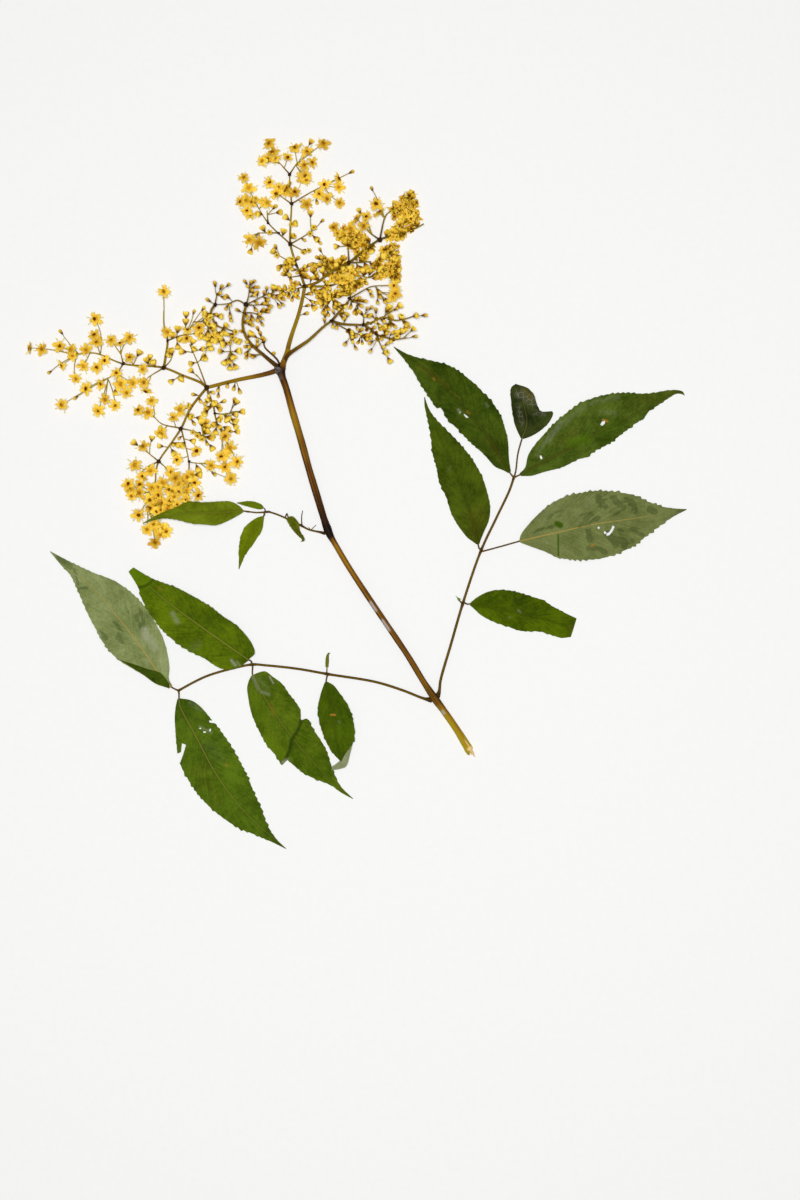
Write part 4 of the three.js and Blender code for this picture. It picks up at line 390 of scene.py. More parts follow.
# One entry for each ray of the flower head. ray and branches: runs of points, each branch starting on
# what is already there. flowers, cups (half-open flowers, seen from the side) and buds: their places.
# crowds: places too full to list, each how many flowers, cups and buds it holds, and its outline.
# tones: how brown its flowers, cups and buds are, 0 to 1. brown: its stalks are, where others are olive.
SPRAYS = {
  "left_spray": {
    "layer": LOW_LAYER, "ray_radii": (1, 0.82, 0.72, 0.66, 0.6), "tones": (0.22, 0.1, 0.4), "brown": False,
    "ray": [[-31.2, 45.6], [-34.7, 44.6], [-44.8, 42.5], [-56, 39.7]],
    "branches": [
      [[-56, 39.7], [-58.2, 41.5], [-64.9, 44.2], [-72.1, 47.1], [-87.3, 48.6], [-98, 52.6], [-105, 52.1]],
      [[-87.3, 48.6], [-88.5, 53.5]],
      [[-87.3, 48.6], [-89.9, 45], [-94.2, 42.7]],
      [[-72.1, 47.1], [-78, 43.6]],
      [[-72.1, 47.1], [-71.3, 52], [-70.7, 57.3], [-72, 63.1], [-72.1, 68.5]],
      [[-70.7, 57.3], [-65.3, 59.3], [-60, 59.9]],
      [[-72.1, 47.1], [-69.7, 49.7], [-68.7, 52.2]],
      [[-56, 39.7], [-59.5, 49.1], [-62.4, 55.8]],
      [[-56, 39.7], [-59.9, 44.6]],
      [[-56, 39.7], [-55.3, 37.3], [-53.5, 32.8], [-53, 30], [-52.2, 26]],
      [[-53, 30], [-48.7, 29.5]],
      [[-56, 39.7], [-62.1, 31.8], [-65.6, 24.4], [-68.9, 19.4], [-74, 12], [-75.1, 8], [-75.3, 4.3],
        [-76.9, 0.7], [-79.1, -4.1]],
      [[-65.6, 24.4], [-72.9, 26.1], [-76, 29]],
      [[-65.6, 24.4], [-60.1, 23], [-57.1, 21.2]],
      [[-65.6, 24.4], [-63, 13.9], [-62.6, 12], [-57.1, 11.1]],
      [[-62.6, 12], [-62.6, 8], [-62, 3]],
      [[-74, 12], [-78.4, 15.5]],
      [[-74, 12], [-77.7, 10.2], [-81, 7.6]],
      [[-74, 12], [-71.1, 9.5]],
    ],
    "flowers": [[-122.2, 54.4], [-117.6, 54.1], [-110.8, 55.1], [-106.6, 53.7], [-101.1, 53.6],
      [-97.7, 65.3], [-98.2, 59.3], [-97.2, 56.5], [-91.7, 57.3], [-88.5, 56.1], [-84.9, 58.2],
      [-84.7, 50.8], [-110.1, 47.9], [-102.1, 47.7], [-97, 47.2], [-94.2, 49.7], [-105, 43], [-100.9, 39.2],
      [-110.1, 33.1], [-95.6, 41], [-89.9, 45], [-94, 35.1], [-96.6, 30.9], [-90.3, 32.9], [-88.2, 41],
      [-83.8, 41.3], [-86, 37.6], [-79.5, 41.6], [-78.7, 38.4], [-79.8, 46.5], [-72, 75.5], [-77.9, 30.2],
      [-81.5, 31], [-76.6, 34.5], [-68.5, 28.2], [-65.7, 31.4], [-73.1, 22.7], [-54.4, 10.4], [-49.2, 9.8],
      [-44.5, 11.7], [-50.5, 13.9], [-47.4, 17.1], [-46.8, 5.4], [-59.9, 15.9], [-63.1, 6], [-60.7, 4],
      [-63.5, 1.1], [-59.1, -0.7], [-63.6, -2.5], [-67, 12.6], [-79.7, 17.5], [-82.8, 10.5], [-80, 6.3],
      [-77.1, 8.6], [-84.6, 1.6], [-81.1, 0.2], [-84, -1], [-80.9, 3.2], [-69.4, 8.1], [-67.5, 5.7],
      [-66.3, 3.7], [-68.8, 0.8], [-72.5, 3.9], [-74.6, 2.4], [-75, -1.9], [-77.2, -2.5], [-73, -3.7],
      [-77.3, -5.5], [-74.9, -6.8], [-70.3, -4.7], [-68.2, -1.5], [-81.3, -8], [-78.2, -13.4], [-72.5, -13],
      [-75.8, -11.6], [-75.2, -18.2], [-58.9, 62], [-63.6, 58.2], [-63.3, 61], [-56.1, 66.6],
      [-106.1, 51.5], [-85.2, 3.3], [-70.3, 1.4], [-64.8, 4.3], [-61.7, 6.9], [-69.8, -2.9], [-67, -4.3],
      [-75.6, -4.3], [-70.8, -5.8], [-73.2, -6.2], [-74.2, -0.7], [-74.4, -12.9], [-71.3, -14.1],
      [-73.2, -15.3], [-48.8, 14.4], [-49, 21.5], [-66.3, 0.5], [-76.5, 1.9], [-70.8, 60.3], [-54, 58.2],
      [-58.4, 59.6]],
    "cups": [[-81.3, 52.6], [-77.1, 51], [-78.5, 49.8], [-75.9, 48.7], [-69.2, 41.9], [-65.4, 43.1],
      [-90.2, 37.7], [-66.8, 61.5], [-68.7, 59.2], [-66.4, 57.8], [-69.2, 53.1], [-66.8, 55], [-65, 53.1],
      [-70.6, 51.7], [-60.8, 53.8], [-57.5, 54], [-54.7, 55], [-57, 50.8], [-61.7, 48.7], [-61.7, 45.9],
      [-63.8, 64.3], [-63.6, 66.9], [-61.2, 56.8], [-58.4, 58.9], [-62.2, 28.6], [-56.6, 30.2],
      [-57.7, 26.7], [-62.2, 32.8], [-42.8, 30.6], [-45.2, 29.4], [-45.4, 27], [-47.8, 28.2], [-51.4, 27.5],
      [-56.7, 29.9], [-57.9, 26.3], [-56, 26.8], [-53.1, 25.9], [-55.5, 24.9], [-51.2, 24.9], [-48.3, 24.2],
      [-44.5, 23], [-55.7, 23], [-52.6, 23], [-54, 20.8], [-54, 17], [-59.1, 22], [-57.6, 20.8],
      [-61.2, 19.6], [-67, 18.2], [-65.1, 18.2], [-68.4, 15.1], [-73.4, 17.7], [-76.5, 20.6], [-83, 18.9],
      [-73.2, 21.8], [-61.9, 29], [-59.3, 9.1], [-58.8, 6.9], [-63.6, 0], [-63.6, -2.6]],
    "buds": [[-60.5, 37], [-56.1, 34], [-55.2, 32.1], [-60.8, 26.3], [-110.5, 60.3], [-114.7, 45.4],
      [-104.9, 35.9], [-60.8, 67.8], [-57.3, 69.2], [-55.7, 32.3], [-53.1, 33.5], [-56.4, 33.8],
      [-51.6, 36.9], [-51.6, 39], [-48.1, 40.5], [-45.7, 39.7], [-43.7, 38.5], [-54, 37.8], [-56.9, 23.5],
      [-56, 18.9], [-61, 26.6], [-66, 20.8], [-68.6, 18.4], [-53.3, 7.2], [-58.4, 34.9], [-62.4, 31.8],
      [-55, 36.4]],
    "crowds": [
      [[0, 14, 12], [-57.7, 39.6], [-43.2, 38.3], [-41.8, 31.3], [-44.5, 21.7], [-54.2, 17.5],
        [-62.5, 21.7], [-60.4, 28.6], [-57, 32.7]],
    ],
  },
  "inner_left_spray": {
    "layer": HIGH_LAYER, "ray_radii": (0.95, 0.62, 0.55, 0.5, 0.5), "tones": (0.4, 0.25, 0.7), "brown": True,
    "ray": [[-30.6, 48.5], [-34.7, 51.8], [-39.7, 56.4], [-41.8, 60.2], [-42.3, 63.1], [-41.8, 67.3],
      [-41, 70.5]],
    "branches": [[[-41, 70.5], [-40.1, 74], [-39.9, 77]],
      [[-41, 70.5], [-37.2, 72.4], [-33.4, 74.3], [-30.5, 75.1]],
      [[-41, 70.5], [-38.5, 70.3], [-35.5, 70.5]], [[-41.8, 67.3], [-39.3, 67.5], [-36.8, 66.9]],
      [[-41, 70.5], [-44.3, 72.1], [-47.7, 70.9], [-52.7, 70.5]], [[-52.7, 70.5], [-51.9, 74.9]],
      [[-52.7, 70.5], [-56.9, 64.6], [-61, 64]], [[-56.9, 64.6], [-54.8, 61.4]],
      [[-52.7, 70.5], [-54.2, 67.7], [-51.9, 62.7], [-47.7, 61.2], [-45.6, 60.4]],
      [[-45.6, 60.4], [-47, 56], [-46.8, 52]]],
    "cups": [[-50.7, 66], [-30.8, 76.6], [-29, 76.3], [-28.7, 73.5], [-39.5, 59.3], [-45.3, 60.3],
      [-45.1, 57.2], [-43.9, 56.8], [-47.1, 56.1], [-43.9, 53.1], [-45.8, 50.9], [-47.4, 49.3], [-49, 48.8],
      [-47.1, 46.9], [-45.1, 47.2], [-50.5, 52.9], [-54.9, 55.9], [-54.2, 54.3], [-56.5, 50.4],
      [-53.7, 57.5], [-52.9, 60.2], [-53, 62.7], [-55.3, 63.1], [-48.7, 62.6], [-56.2, 64.3], [-54.6, 66.1],
      [-56.2, 66.8], [-51.5, 59.1], [-51.9, 57], [-49.4, 60], [-50.1, 57.5], [-53.5, 61.3], [-55.3, 59.3],
      [-46.2, 58.1], [-49.4, 55.4], [-56, 58.1]],
    "buds": [[-52.6, 77.9], [-50.4, 76.8], [-47.8, 77.6], [-51.1, 74.5], [-49.6, 73.2], [-47.9, 73.3],
      [-55, 72], [-46.8, 70.5], [-48.3, 69.4], [-47, 66.6], [-46.7, 65.1], [-43.9, 68.2], [-52.6, 66.8],
      [-41.2, 78.8], [-39.3, 78.3], [-38.1, 78.8], [-40.2, 77.1], [-38, 76.9], [-37.1, 76.9], [-39.1, 75.5],
      [-38, 74.7], [-36.8, 74.6], [-38.5, 73.7], [-33.3, 76.1], [-34.3, 74.6], [-32.5, 74.2], [-31.1, 73.5],
      [-27.6, 72.7], [-28.9, 70.2], [-27.6, 70.7], [-33.3, 72.5], [-33.5, 71.4], [-34.7, 70.7],
      [-32.3, 69.9], [-33, 68.6], [-33.3, 67.7], [-35, 68.2], [-37.6, 68.8], [-36.4, 66.9], [-35.4, 65.5],
      [-36.7, 65.1], [-35.2, 63.5], [-38.7, 65.5], [-39.3, 64.3], [-39.3, 62.9], [-41, 64.1], [-40.8, 66.3],
      [-37.5, 71.4], [-34.5, 56.9], [-42.6, 60.4], [-47.1, 59.3], [-36.8, 56.6], [-40.3, 56.6],
      [-40.8, 54.8], [-39.3, 54.7], [-36.9, 55], [-40.8, 52.5], [-40.8, 51.1], [-38.9, 51.5], [-38, 51]],
  },
  "top_spray": {
    "layer": LOW_LAYER, "ray_radii": (1.15, 0.85, 0.7, 0.64, 0.62), "tones": (0.28, 0.2, 0.5), "brown": False,
    "ray": [[-27.2, 48.9], [-26.5, 50.8], [-25.8, 52.8], [-25.1, 56], [-23.9, 60], [-21.7, 66.5],
      [-20, 73.2], [-19.2, 77.6]],
    "branches": [
      [[-19.2, 77.6], [-20.6, 81.7], [-22.3, 85.5], [-24.6, 93.5], [-24.6, 100.2], [-24.2, 108.6],
        [-24.8, 114.9], [-24.9, 119.7]],
      [[-24.9, 119.7], [-29, 124.3]],
      [[-24.9, 119.7], [-21.9, 124.3]],
      [[-24.2, 108.6], [-29, 112]],
      [[-24.2, 108.6], [-17.2, 112.8], [-12.2, 115.5]],
      [[-24.6, 93.5], [-33, 101.5], [-37.4, 108.6], [-39.5, 112.8]],
      [[-33, 101.5], [-33.4, 106.1]],
      [[-29, 97.7], [-37, 97.7]],
      [[-24.6, 93.5], [-19.3, 96.6], [-15.1, 99.4]],
      [[-24.6, 93.5], [-19.3, 91], [-17.2, 91]],
      [[-22.3, 85.5], [-29.4, 89.5]],
      [[-20.6, 81.7], [-25.6, 80.9]],
      [[-19.2, 77.6], [-24, 76.2], [-27.4, 75]],
      [[-19.2, 77.6, 0.3], [-14.5, 79.1, 0.6], [-10.3, 82.3, 1.1], [-6.1, 84.7, 1.5], [-2.6, 86.3, 1.8],
        [2.3, 90.3, 1.7], [8.9, 94.9, 1.9], [14.9, 96.8, 1.6], [22.4, 99.3, 1], [25.4, 101, 0.8]],
      [[8.9, 94.9, 1.8], [11.2, 104, 1.4], [13.5, 106.1, 1.4]],
      [[8.9, 94.9, 1.8], [4.9, 97.7, 1.4]],
      [[-2.6, 86.3, 1.8], [-3, 92.6, 1.4]],
      [[-2.6, 86.3, 1.8], [2.3, 86.5, 1.4], [5.6, 86.8, 1.4]],
      [[-19.2, 77.6], [-9.8, 77.9], [-6.5, 79.1], [-1.9, 82], [5, 80.8]],
      [[-9.8, 77.9], [-9.3, 72.6]],
    ],
    "flowers": [[-32.7, 131.2], [-31.2, 127.8], [-32.9, 125.2], [-35.1, 124.5], [-30.3, 125.2],
      [-25.7, 125.7], [-22.8, 129.5], [-18.5, 128.1], [-12.3, 131], [-19.5, 123], [-16.4, 123.8],
      [-19.2, 119], [-18.6, 117.2], [-20.1, 118], [-32.4, 116.3], [-29.8, 112.3], [-28.8, 114.4],
      [-25.7, 114.4], [-22.9, 112.9], [-26.4, 113.2], [-42, 118.3], [-40.1, 114.4], [-43.2, 109.2],
      [-41, 109.6], [-39.1, 108.9], [-40.9, 105.8], [-39.5, 104.5], [-33.4, 108.9], [-34.9, 109.2],
      [-39.8, 95], [-36.2, 93.8], [-11.8, 115.6], [-6.6, 117.8], [-6.6, 114.7], [-14, 112.3],
      [-10.9, 110.4], [-6.3, 108.9], [-18.5, 108.2], [0.4, 102.7], [4, 103.4], [3, 99.8], [7.6, 108.4],
      [9, 105.1], [-8, 99.8], [-2, 98.9]],
    "cups": [[-16.8, 131.7], [-37.9, 110.1], [-36.5, 104.6], [-26.2, 103.2], [-24.3, 100.8], [-34.8, 99.3],
      [-32.4, 97.7], [-27.1, 98.1], [-39.6, 90.7], [-30.7, 90.5], [-29.5, 89.3], [-23.6, 96.2],
      [-17.3, 97.4], [-15.7, 99.3], [-14.9, 95.3], [-19.5, 90.7], [-17.6, 91], [-24.8, 86.2],
      [-17.1, 104.8], [1.2, 105.8], [-7.3, 92.4], [-28.6, 105.3], [-23.1, 101], [-15.8, 69.6],
      [-11.1, 74.3], [-10.1, 72.9]],
    "buds": [[-30.5, 107.2], [-37.7, 96.7], [-30, 92.2], [-19.7, 95], [-12.8, 102], [-13.7, 94.1],
      [-13.3, 91], [-14.2, 88.1], [-12.5, 87.8], [-22.1, 87.8], [-26.2, 86.6], [-28.6, 84.3], [-25.7, 83.8],
      [-24.8, 81.4], [-23.3, 83.8], [-18, 85.2], [-19.2, 83.5], [-14.7, 109.4], [-1.8, 120.4], [6, 113.9],
      [-16.1, 83.8], [-14.7, 81.9], [-21.6, 82.8], [-26.7, 82.3], [-11.8, 84.3], [-18.5, 80.9],
      [-18.3, 70.3], [-18.9, 67.3], [-16.7, 72], [-15.4, 71.6], [-12.7, 70.2], [-12.2, 68.2], [-10.4, 69.5],
      [-10.4, 67.3], [-12.6, 73.8], [-11.5, 74.8], [-10.8, 73.4], [-9.5, 72.7], [-7.9, 71.4], [-16.5, 75.2],
      [-15.1, 75.2], [-13.3, 76.1], [-14, 73.4], [-9.7, 76.6], [-23.7, 77.4], [-23.7, 75.2], [-23.9, 73],
      [-21.9, 73.6]],
    "crowds": [
      [[48, 22, 34], [12.8, 106.6], [15.2, 109.3], [17.9, 111.6], [21.5, 112.7], [23.2, 109], [22.9, 105.6],
        [23.9, 102.9], [22.6, 98.9], [19.2, 97.9], [15.8, 94.9], [11.2, 96.3], [12.2, 99.6], [15.8, 100.9],
        [16.5, 102.3], [13.2, 103.6]],
      [[34, 20, 40], [-9.3, 100.9], [-6.3, 98.9], [-2.3, 99.9], [1.1, 97.6], [5.8, 94.6], [6.8, 90.9],
        [4.5, 87.5], [-0.9, 87.5], [0.4, 91.2], [-2.9, 92.9], [-6.3, 94.9]],
      [[46, 46, 135], [-11.6, 85.5], [-6.9, 86.5], [-4.3, 88.5], [-2.3, 85.9], [4.5, 85.9], [9.2, 87.8],
        [9.2, 91.2], [12.5, 92.9], [15.5, 92.9], [16.2, 89.2], [16.5, 81.2], [15.2, 79.1], [11.2, 80.8],
        [5.8, 79.8], [0.8, 76.8], [-4.3, 74.8], [-6.9, 78.8], [-11.6, 78.1], [-12.3, 82.2]],
      [[0, 12, 36], [-29, 85.5], [-24.5, 88], [-21, 84.5], [-17.5, 86], [-14.5, 91], [-11, 88.5], [-8, 87],
        [-5, 84], [-7, 79.5], [-13, 80.5], [-18.5, 80], [-24, 80.5], [-28.5, 81.5]],
      [[2, 12, 48], [-29, 77], [-23, 79.4], [-19, 78.5], [-12, 78.5], [-5, 76], [-4, 70], [-8, 67],
        [-13, 70], [-14.5, 74.5], [-20, 73.5], [-27, 73.5]],
    ],
  },
  "lower_right_spray": {
    "layer": HIGH_LAYER, "ray_radii": (1, 0.72, 0.6, 0.48, 0.4), "tones": (0.3, 0.15, 0.45), "brown": True,
    "ray": [[-27.1, 48.9], [-25.8, 51.3], [-24.3, 52.6], [-20.6, 55.1], [-17.7, 57.1], [-12, 62.3],
      [-9.1, 64.4]],
    "branches": [
      [[-9.1, 64.4], [-7, 66.9], [-4.2, 70.2], [-2.3, 72.8], [-2.1, 76.7]],
      [[-2.3, 72.8], [1.9, 75.3], [5.6, 77.2], [11, 77.7]],
      [[-2.3, 72.8], [0.9, 70.7]],
      [[-9.1, 64.4], [-4.7, 63.2], [-0.5, 63], [2.8, 63], [6.5, 64.1], [10, 65.8], [14.9, 64.6],
        [18.2, 65.1], [21, 66]],
      [[2.8, 63], [3, 66.5]],
      [[2.8, 63], [5.6, 61.3], [7.5, 59.5], [11.7, 58.1], [15.2, 57.6], [19, 58.1]],
      [[7.5, 59.5], [9.3, 55.3], [10.7, 52.5]],
      [[-9.1, 64.4], [-2.8, 60.9], [1.9, 59]],
      [[-2.8, 60.9], [-2.3, 59], [-0.9, 56]],
    ],
    "flowers": [[14.2, 77.4], [14.7, 74.5], [13.6, 73.4]],
    "cups": [[18.9, 63.3], [16.9, 65.7], [16.3, 70], [11.1, 52.6], [15.4, 58.1], [15.4, 59.8], [17.2, 60.3],
      [18.5, 61.4], [21.4, 61.2], [11.1, 62.4], [12.4, 69.5], [12.6, 49.5], [22.4, 66.2]],
    "buds": [[25.5, 66.4], [14.9, 68.7], [11.5, 68.4], [7.5, 68], [8.1, 71.6], [10.6, 71.8], [11.5, 72.3],
      [6.1, 66.2], [5.6, 69.1], [4.1, 68.7], [4.5, 65.9], [1.8, 67.3], [3.2, 66.2], [1.6, 70.2],
      [3.2, 71.6], [0.9, 72.7], [-0.4, 72.5], [5.7, 74.1], [5, 75.6], [8.6, 75.6], [8.8, 73.8],
      [-4.1, 69.6], [-7.2, 69.1], [-6.1, 68.4], [-4.3, 67.1], [-3.2, 66.2], [-4.1, 65.1], [-5, 65.5],
      [-8.3, 67.5], [-11.5, 66.4], [-11.7, 64.4], [-8.6, 62.6], [-7.2, 62.4], [-6.1, 73.4], [-4.8, 75.7],
      [-1.8, 75.2], [0.4, 61.7], [1.8, 60.8], [1.8, 59.2], [-1.4, 60.3], [-1.8, 59.6], [-1.4, 58],
      [-1.1, 56.3], [-0.2, 54.5], [-3.8, 56], [3.8, 57.8], [5, 58], [3.6, 59], [5.7, 59.9], [5.7, 56.3],
      [5.6, 53.3], [9.5, 58.1], [11.1, 59.2], [13.3, 59.4], [12.9, 57.1], [11.5, 55.6], [10.1, 54.4],
      [21.9, 58.5], [12.6, 62.4], [14.4, 62.6], [10.6, 60.8], [6.5, 61.7], [7.4, 64.1], [8.6, 63],
      [10.1, 64.4]],
    "crowds": [
      [[0, 6, 16], [2.5, 63], [6, 65.5], [10, 66.5], [12.5, 72], [14.5, 71], [15, 66], [19.5, 64.5],
        [19, 60.5], [15.5, 57.5], [9, 57.5], [4, 58]],
      [[0, 0, 14], [-7, 66], [-2.5, 73.5], [3.5, 72], [4.5, 66], [1.5, 65.5], [-1.5, 68.5], [-4.5, 65.5]],
      [[0, 0, 8], [-5, 62], [2, 61.5], [6, 58], [3, 56.5], [-1.5, 57.5]],
    ],
  },
  "small_spray": {
    "layer": LOW_LAYER, "ray_radii": (0.4, 0.3), "tones": (0.6, 0.6, 0.9), "brown": True,
    "ray": [[-29.2, 49.6], [-30.7, 51.4], [-34.1, 54.7], [-34.7, 56.8]],
    "branches": [[[-34.7, 56.8], [-35.7, 58.4]]],
    "buds": [[-35.8, 59.6], [-36.7, 61.4], [-35.2, 58.1], [-37.8, 58.7], [-31, 52.2]],
  },
}


# ---- numbers along a curve ----
def curve_through(places, fineness=24):
    """A smooth curve through places, as dense points. Between two places it is the cubic whose slopes at
    both ends follow the neighbouring places, each run weighted by the square root of its length."""
    p = np.asarray(places, float)
    p = np.vstack([2 * p[0] - p[1], p, 2 * p[-1] - p[-2]])
    steps = np.diff(p, axis=0)
    span = np.sqrt(np.linalg.norm(steps, axis=1))[:, None]
    slope = steps[:-1] / span[:-1] - (p[2:] - p[:-2]) / (span[:-1] + span[1:]) + steps[1:] / span[1:]
    leave, arrive = (slope[:-1] * span[1:-1])[:, None], (slope[1:] * span[1:-1])[:, None]
    t = np.linspace(0, 1, fineness, endpoint=False)[None, :, None]
    run = (2 * t**3 - 3 * t**2 + 1) * p[1:-2, None] + (t**3 - 2 * t**2 + t) * leave
    run = run + (3 * t**2 - 2 * t**3) * p[2:-1, None] + (t**3 - t**2) * arrive
    return np.vstack([run.reshape(-1, p.shape[1]), p[-2:-1]])


def arc(curve):
    """The distance run from a curve's start to each of its points."""
    return np.concatenate([[0], np.cumsum(np.linalg.norm(np.diff(curve, axis=0), axis=1))])


def places_along(curve, shares):
    """Points at shares, 0 to 1, of a curve's whole length."""
    run = arc(curve)
    return np.stack([np.interp(shares * run[-1], run, axis) for axis in curve.T], axis=-1)


def even_path(places, count):
    """As many points as count, evenly spaced along the smooth curve through places."""
    return places_along(curve_through(places), np.linspace(0, 1, count))


def at_height(path, height):
    """A path in plan, given one height or one for each of its points."""
    return np.column_stack([path, np.broadcast_to(height, len(path))])


def plan_gap(path, places):
    """How far each point of a path is, in plan, from the nearest of some places."""
    return np.hypot(path[:, None, 0] - places[:, 0], path[:, None, 1] - places[:, 1]).min(1)


def smooth(value, low, high):
    """0 below low and 1 above high, with the cubic 3v^2 - 2v^3 between."""
    v = np.clip((value - low) / (high - low), 0, 1)
    return v * v * (3 - 2 * v)


def hump(gap, reach):
    """1 where the gap is 0, falling off both ways as exp(-(gap / reach)^2)."""
    return np.exp(-((gap / reach) ** 2))


def unit(vectors):
    """Vectors of the same headings and of length 1."""
    return vectors / np.maximum(np.linalg.norm(vectors, axis=-1, keepdims=True), 1e-9)


def swell(x, y, rng, pitch, count=7):
    """An even, restless surface between about -1 and 1: a sum of sine waves with drawn headings,
    phases and lengths near the pitch."""
    heading, phase = rng.uniform(0, 2 * math.pi, (2, count))
    number = 2 * math.pi / (pitch * rng.uniform(0.6, 1.6, count))
    ahead = x[..., None] * np.cos(heading) + y[..., None] * np.sin(heading)
    return np.sin(ahead * number + phase).sum(-1) / math.sqrt(count) / 1.3


def inside(x, y, outline):
    """Whether points lie within a closed outline: a ray from one there crosses it an odd number of times."""
    start = np.asarray(outline, float)
    end = np.roll(start, -1, axis=0)
    x, y = x[..., None], y[..., None]
    straddles = (start[:, 1] > y) != (end[:, 1] > y)
    rise = np.where(end[:, 1] == start[:, 1], 1, end[:, 1] - start[:, 1])
    crossing = start[:, 0] + (y - start[:, 1]) * (end[:, 0] - start[:, 0]) / rise
    return (straddles & (x < crossing)).sum(-1) % 2 == 1


def nearest_on(x, y, places, closed=False):
    """The nearest point of a run of straight sides to each (x, y), and how far away it is."""
    start = np.asarray(places, float)
    end = np.roll(start, -1, axis=0)
    if not closed:
        start, end = start[:-1], end[:-1]
    run = end - start
    share = (x[..., None] - start[:, 0]) * run[:, 0] + (y[..., None] - start[:, 1]) * run[:, 1]
    share = np.clip(share / np.maximum((run**2).sum(1), 1e-9), 0, 1)
    near = start + share[..., None] * run
    gaps = np.hypot(x[..., None] - near[..., 0], y[..., None] - near[..., 1])
    best = gaps.argmin(-1)[..., None]
    near = np.take_along_axis(near, best[..., None], -2)[..., 0, :]
    return near, np.take_along_axis(gaps, best, -1)[..., 0]


# ---- skins: points in millimetres, the faces between them, and marks on the points ----
class Skin:
    """points is one row for each; faces is a list of arrays of 3 or of 4 corners; marks gives each point
    a number under a name, which the finishes read."""

    def __init__(self, points, faces, marks):
        self.points, self.faces = points, faces
        self.marks = {name: np.broadcast_to(mark, len(points)).astype(float) for name, mark in marks.items()}


def together(skins):
    """Several skins as one. A mark that one of them lacks is 0 there."""
    names = sorted({name for skin in skins for name in skin.marks})
    starts = np.cumsum([0] + [len(skin.points) for skin in skins])
    faces = [face + start for skin, start in zip(skins, starts) for face in skin.faces]
    marks = {
        name: np.concatenate([skin.marks.get(name, np.zeros(len(skin.points))) for skin in skins])
        for name in names
    }
    return Skin(np.vstack([skin.points for skin in skins]), faces, marks)


def sheet(top, thickness, kept, marks):
    """A thin closed sheet. `top` is a grid of points; the underside is the same grid one thickness lower;
    a wall closes each side where a face that is kept has no kept neighbour."""
    rows, columns = top.shape[:2]
    index = np.arange(rows * columns).reshape(rows, columns)
    corners = np.stack([index[:-1, :-1], index[1:, :-1], index[1:, 1:], index[:-1, 1:]], axis=-1)
    beyond = np.pad(kept, 1)
    neighbours = [beyond[1:-1, :-2], beyond[2:, 1:-1], beyond[1:-1, 2:], beyond[:-2, 1:-1]]
    lower = rows * columns
    faces = [corners[kept], corners[kept][:, ::-1] + lower]
    for side, neighbour in enumerate(neighbours):
        a, b = (corners[..., (side + step) % 4][kept & ~neighbour] for step in (0, 1))
        faces.append(np.stack([a + lower, b + lower, b, a], axis=-1))
    one, other = top[1:, 1:] - top[:-1, :-1], top[:-1, 1:] - top[1:, :-1]
    if (one[..., 0] * other[..., 1] - one[..., 1] * other[..., 0]).sum() < 0:
        faces = [face[:, ::-1] for face in faces]
    used, faces = np.unique(np.vstack(faces), return_inverse=True)
    points = np.vstack([top.reshape(-1, 3), top.reshape(-1, 3) - [0, 0, thickness]])
    both = {name: np.tile(mark.ravel(), 2)[used] for name, mark in marks.items()}
    both["below"] = (used >= lower).astype(float)
    return Skin(points[used], [faces.reshape(-1, 4)], both)


def tubes(paths, radii, sides, heights=None, flutes=(0, 0), **marks):
    """Round stalks, one for each row of paths: a ring of points round each place, square to the way ahead,
    with half-width radii and half-height heights. Flutes are how many ridges run along it and how deep, as
    a share. Each end is closed by a fan to a point a little further on."""
    paths, radii = np.asarray(paths, float), np.asarray(radii, float)
    heights = radii if heights is None else np.asarray(heights, float)
    many, length = radii.shape
    ahead = unit(np.gradient(paths, axis=1))
    across = unit(np.cross([0, 0, 1], ahead))
    over = np.cross(ahead, across)
    turn = np.arange(sides) * 2 * math.pi / sides
    proud = 1 + flutes[1] * np.cos(flutes[0] * turn)
    ring = paths[:, :, None] + (radii[:, :, None] * proud * np.cos(turn))[..., None] * across[:, :, None]
    ring = ring + (heights[:, :, None] * proud * np.sin(turn))[..., None] * over[:, :, None]
    poles = np.stack([
        paths[:, 0] - ahead[:, 0] * radii[:, :1] * END_BULGE,
        paths[:, -1] + ahead[:, -1] * radii[:, -1:] * END_BULGE,
    ], axis=1)
    points = np.concatenate([ring.reshape(many, -1, 3), poles], axis=1)
    place = np.arange(length * sides).reshape(length, sides)
    onward = np.roll(place, -1, axis=1)
    wall = np.stack([place[:-1], onward[:-1], onward[1:], place[1:]], axis=-1).reshape(-1, 4)
    first, last = np.full(sides, length * sides), np.full(sides, length * sides + 1)
    caps = np.vstack([
        np.stack([first, onward[0], place[0]], axis=-1), np.stack([last, place[-1], onward[-1]], axis=-1),
    ])
    starts = (np.arange(many) * points.shape[1])[:, None, None]
    steps = np.linalg.norm(np.diff(paths, axis=1), axis=2)
    run = np.concatenate([np.zeros((many, 1)), np.cumsum(steps, axis=1)], axis=1)

    def spread(values, ends):
        """A mark for every ring point, then one for each of the two end points."""
        return np.concatenate([values.reshape(many, -1), ends], axis=1).ravel()

    every = np.ones((many, length, sides))
    own = {
        "run": spread(run[:, :, None] * every, run[:, [0, -1]]),
        "flank": spread(np.cos(turn) * every, np.zeros((many, 2))),
        "crown": spread(np.sin(turn) * every, np.zeros((many, 2))),
    }
    for name, mark in marks.items():
        mark = np.broadcast_to(np.asarray(mark, float), (many, length))
        own[name] = spread(mark[:, :, None] * every, mark[:, [0, -1]])
    faces = [(wall + starts).reshape(-1, 4), (caps + starts).reshape(-1, 3)]
    return Skin(points.reshape(-1, 3), faces, own)


def tube(path, radius, sides, height=None, **settings):
    """One round stalk: tubes with a single path."""
    height = radius if height is None else height
    return tubes(path[None], radius[None], sides, height[None], **settings)


